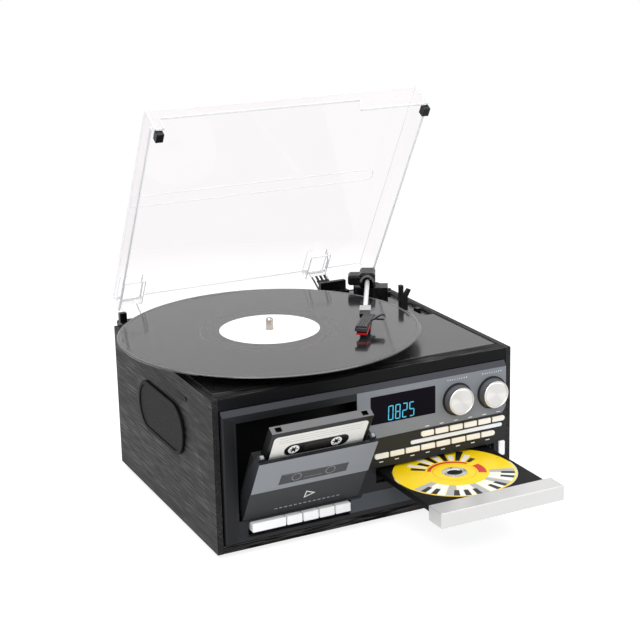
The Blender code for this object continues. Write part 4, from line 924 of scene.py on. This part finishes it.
def buildArm():
    bm = bmesh.new()
    height, outside, inside, front, back = armArch.values()
    outline = arcPoints((0, height), outside, 0, 180, 12) + arcPoints((0, height), inside, 180, 0, 12)
    addPlate(bm, outline, "y", front, back)
    finishPiece("armArch", bm, armFrame, ["archGrey"], "tonearm_gimbal", bevel=0.25)
    bm = bmesh.new()
    places, half = shellRibs.values()
    for rib in places:
        addBox(bm, (rib - half, -43.8, 2.0), (rib + half, -10, 2.7))
    addPlate(bm, [(-5.8, -44.5), (5.8, -44.5), (5.8, -47.0), (3.5, -48.2), (-5.8, -47.2)], "z", -1.8, 1.4)
    finishPiece("shellRibs", bm, shellFrame, ["shellGrey"], "headshell", bevel=0.2)
    bm = bmesh.new()
    addPlate(bm, [(-5.2, -43.4), (5.3, -43.4), (5.3, -42.0), (-5.2, -42.0)], "z", -6.6, -4.6)
    addPlate(bm, [(-43.4, -6.6), (-41.4, -6.6), (-24.5, -2.2), (-24.5, -0.7), (-29.0, -0.9), (-42.2, -4.6),
                  (-43.4, -4.6)], "x", 4.7, 5.5)
    finishPiece("stylusGuard", bm, shellFrame, ["guardRed"], "headshell", bevel=0.2)
    bm = bmesh.new()
    # Middle of each cross-section of the finger lift, and half its width
    reach = [(5.0, -17.0, 1.2, 6.5), (8.0, -13.0, 2.4, 5.0), (11.5, -9.6, 3.6, 3.4), (15.0, -7.2, 4.6, 2.2),
             (17.0, -6.6, 3.4, 1.7), (17.4, -7.4, 1.6, 1.4)]
    rows = [[bm.verts.new((x, y + side * wide, z + rise)) for side, rise in
             ((-1, -0.7), (1, -0.7), (1, 0.7), (-1, 0.7))] for x, y, z, wide in reach]
    for near, far in zip(rows, rows[1:]):
        for here in range(4):
            there = (here + 1) % 4
            bm.faces.new((near[here], near[there], far[there], far[here]))
    bm.faces.new(rows[0])
    bm.faces.new(rows[-1][::-1])
    finishPiece("fingerLift", bm, shellFrame, ["blackSatin"], "headshell", bevel=0.3, angle=50)


buildArm()

# Speakers: a rim round a perforated dish, length and width of their ovals and how far out they stand
speaker = {"centre": (132, 93.5), "rim": (122, 52), "opening": (114, 44), "dish": (114.4, 44.4),
           "seat": 158.3, "face": 160.8, "dishBack": 158.6, "dishFront": 159.9}


def buildSpeaker(node, side):
    def oval(label, steps=24):
        length, width = speaker[label]
        y, z = speaker["centre"]
        offset = (length - width) / 2
        return (arcPoints((y + offset, z), width / 2, -90, 90, steps)
                + arcPoints((y - offset, z), width / 2, 90, 270, steps))
    bm = bmesh.new()
    addRing(bm, oval("rim"), oval("opening"), "x", side * speaker["seat"], side * speaker["face"], 0)
    addPlate(bm, oval("dish"), "x", side * speaker["dishBack"], side * speaker["dishFront"], 1)
    finishPiece(node + "Grille", bm, caseFrame, ["blackMatte", "grilleMesh"], node, (node,), bevel=0.7,
                segments=3)


buildSpeaker("left_speaker", -1)
buildSpeaker("right_speaker", 1)


# Back: screws round the panel
screwSpots = [(x, z) for x in (-146, -50, 50, 146) for z in (14, 133)] + [(-146, 74), (146, 74)]


def buildScrews():
    bm = bmesh.new()
    head = [(0, 268.0), (1.0, 268.0), (2.2, 267.8), (2.9, 267.3), (2.9, 266.8), (0, 266.8)]
    for x, z in screwSpots:
        addSpun(bm, head, (x, 0, z), "y", 24)
        for long, wide in ((0.3, 1.7), (1.7, 0.3)):  # the two strokes of its cross
            addBox(bm, (x - long, 267.9, z - wide), (x + long, 268.08, z + wide), 1)
    finishPiece("backScrews", bm, caseFrame, ["steel", "blackMatte"], "back_panel")


buildScrews()
print("small pieces built")

# Camera: the photograph's, in the case's frame
cameraPlace = {"place": (-632.6, -1213.2, 611.0), "yaw": 27.376, "pitch": 14.923, "roll": -0.902,
               "lens": 86.62, "shift": (-0.0667, -0.0733)}
yaw, pitch, roll = (math.radians(cameraPlace[key]) for key in ("yaw", "pitch", "roll"))
forward = Vector((math.sin(yaw) * math.cos(pitch), math.cos(yaw) * math.cos(pitch), -math.sin(pitch)))
level = Vector((math.cos(yaw), -math.sin(yaw), 0))
upward = level.cross(forward)
right = math.cos(roll) * level + math.sin(roll) * upward
top = -math.sin(roll) * level + math.cos(roll) * upward
camera = bpy.data.objects.new("camera", bpy.data.cameras.new("camera"))
bpy.context.scene.collection.objects.link(camera)
turn = Matrix((right, top, -forward)).transposed()
camera.matrix_world = Matrix.Translation(caseFrame @ Vector(cameraPlace["place"])) @ turn.to_4x4()
camera.data.lens = cameraPlace["lens"]
camera.data.sensor_width = 36
camera.data.shift_x, camera.data.shift_y = cameraPlace["shift"]
camera.data.clip_start = 0.01
camera.data.clip_end = 100
bpy.context.scene.camera = camera

# Soft studio light, in metres and watts
lamps = {
    "keyLamp": {"place": (-1.1, -1.5, 2.0), "size": 1.6, "power": 44},
    "topLamp": {"place": (0.2, 0.5, 2.3), "size": 2.0, "power": 30},
    "fillLamp": {"place": (1.6, -1.6, 0.9), "size": 1.6, "power": 18},
}
for lampName, values in lamps.items():
    lamp = bpy.data.objects.new(lampName, bpy.data.lights.new(lampName, "AREA"))
    bpy.context.scene.collection.objects.link(lamp)
    lamp.location = values["place"]
    lamp.rotation_euler = (Vector((0, 0, 0.1)) - lamp.location).to_track_quat("-Z", "Y").to_euler()
    lamp.data.size = values["size"]
    lamp.data.energy = values["power"]


# Links one shader for lighting and another for what the camera sees, straight, mirrored or through the lid
def whiteForCamera(tree, shader, background, output):
    path = tree.nodes.new("ShaderNodeLightPath")
    seen = mathNode(tree, "MAXIMUM", path.outputs["Is Camera Ray"], path.outputs["Is Glossy Ray"])
    seen = mathNode(tree, "MAXIMUM", seen, path.outputs["Is Transmission Ray"])
    feed(tree, shaderMix(tree, seen, shader, background), tree.nodes[output].inputs["Surface"])


world = bpy.data.worlds.new("studio")
world.use_nodes = True
bpy.context.scene.world = world
worldTree = world.node_tree
ambient = worldTree.nodes["Background"]
ambient.inputs["Color"].default_value = (0.8, 0.82, 0.85, 1)
ambient.inputs["Strength"].default_value = 0.45
white = addNode(worldTree, "Background", 0, {"Color": (1, 1, 1, 1), "Strength": 1.0})
whiteForCamera(worldTree, ambient.outputs[0], white, "World Output")

# Floor: pale under the part, and it blends into the white between these distances from its middle
floorLayout = {"size": 6.0, "fadeFrom": 0.45, "fadeTo": 1.1}
bm = bmesh.new()
bmesh.ops.create_grid(bm, x_segments=1, y_segments=1, size=floorLayout["size"] / 2)
floorMesh = bpy.data.meshes.new("floor")
bm.to_mesh(floorMesh)
bm.free()
floor = bpy.data.objects.new("floor", floorMesh)
bpy.context.scene.collection.objects.link(floor)
floorMaterial, floorTree, floorShader = blankMaterial("floorWhite")
floorShader.inputs["Base Color"].default_value = (0.9, 0.9, 0.9, 1)
floorShader.inputs["Roughness"].default_value = 0.8
floorShader.inputs["Specular IOR Level"].default_value = 0.0
fade = (floorLayout["fadeFrom"], floorLayout["fadeTo"])
away = vectorNode(floorTree, "LENGTH", objectPlace(floorTree))
glow = addNode(floorTree, "Emission", 0, {"Strength": rampNode(floorTree, away, 1.4, 1.01, *fade)})
blend = shaderMix(floorTree, rampNode(floorTree, away, 0.6, 1.0, *fade), floorShader.outputs[0], glow)
whiteForCamera(floorTree, floorShader.outputs[0], blend, "Material Output")
floorMesh.materials.append(floorMaterial)

bpy.context.scene.view_settings.view_transform = "Standard"
print("scene finished")
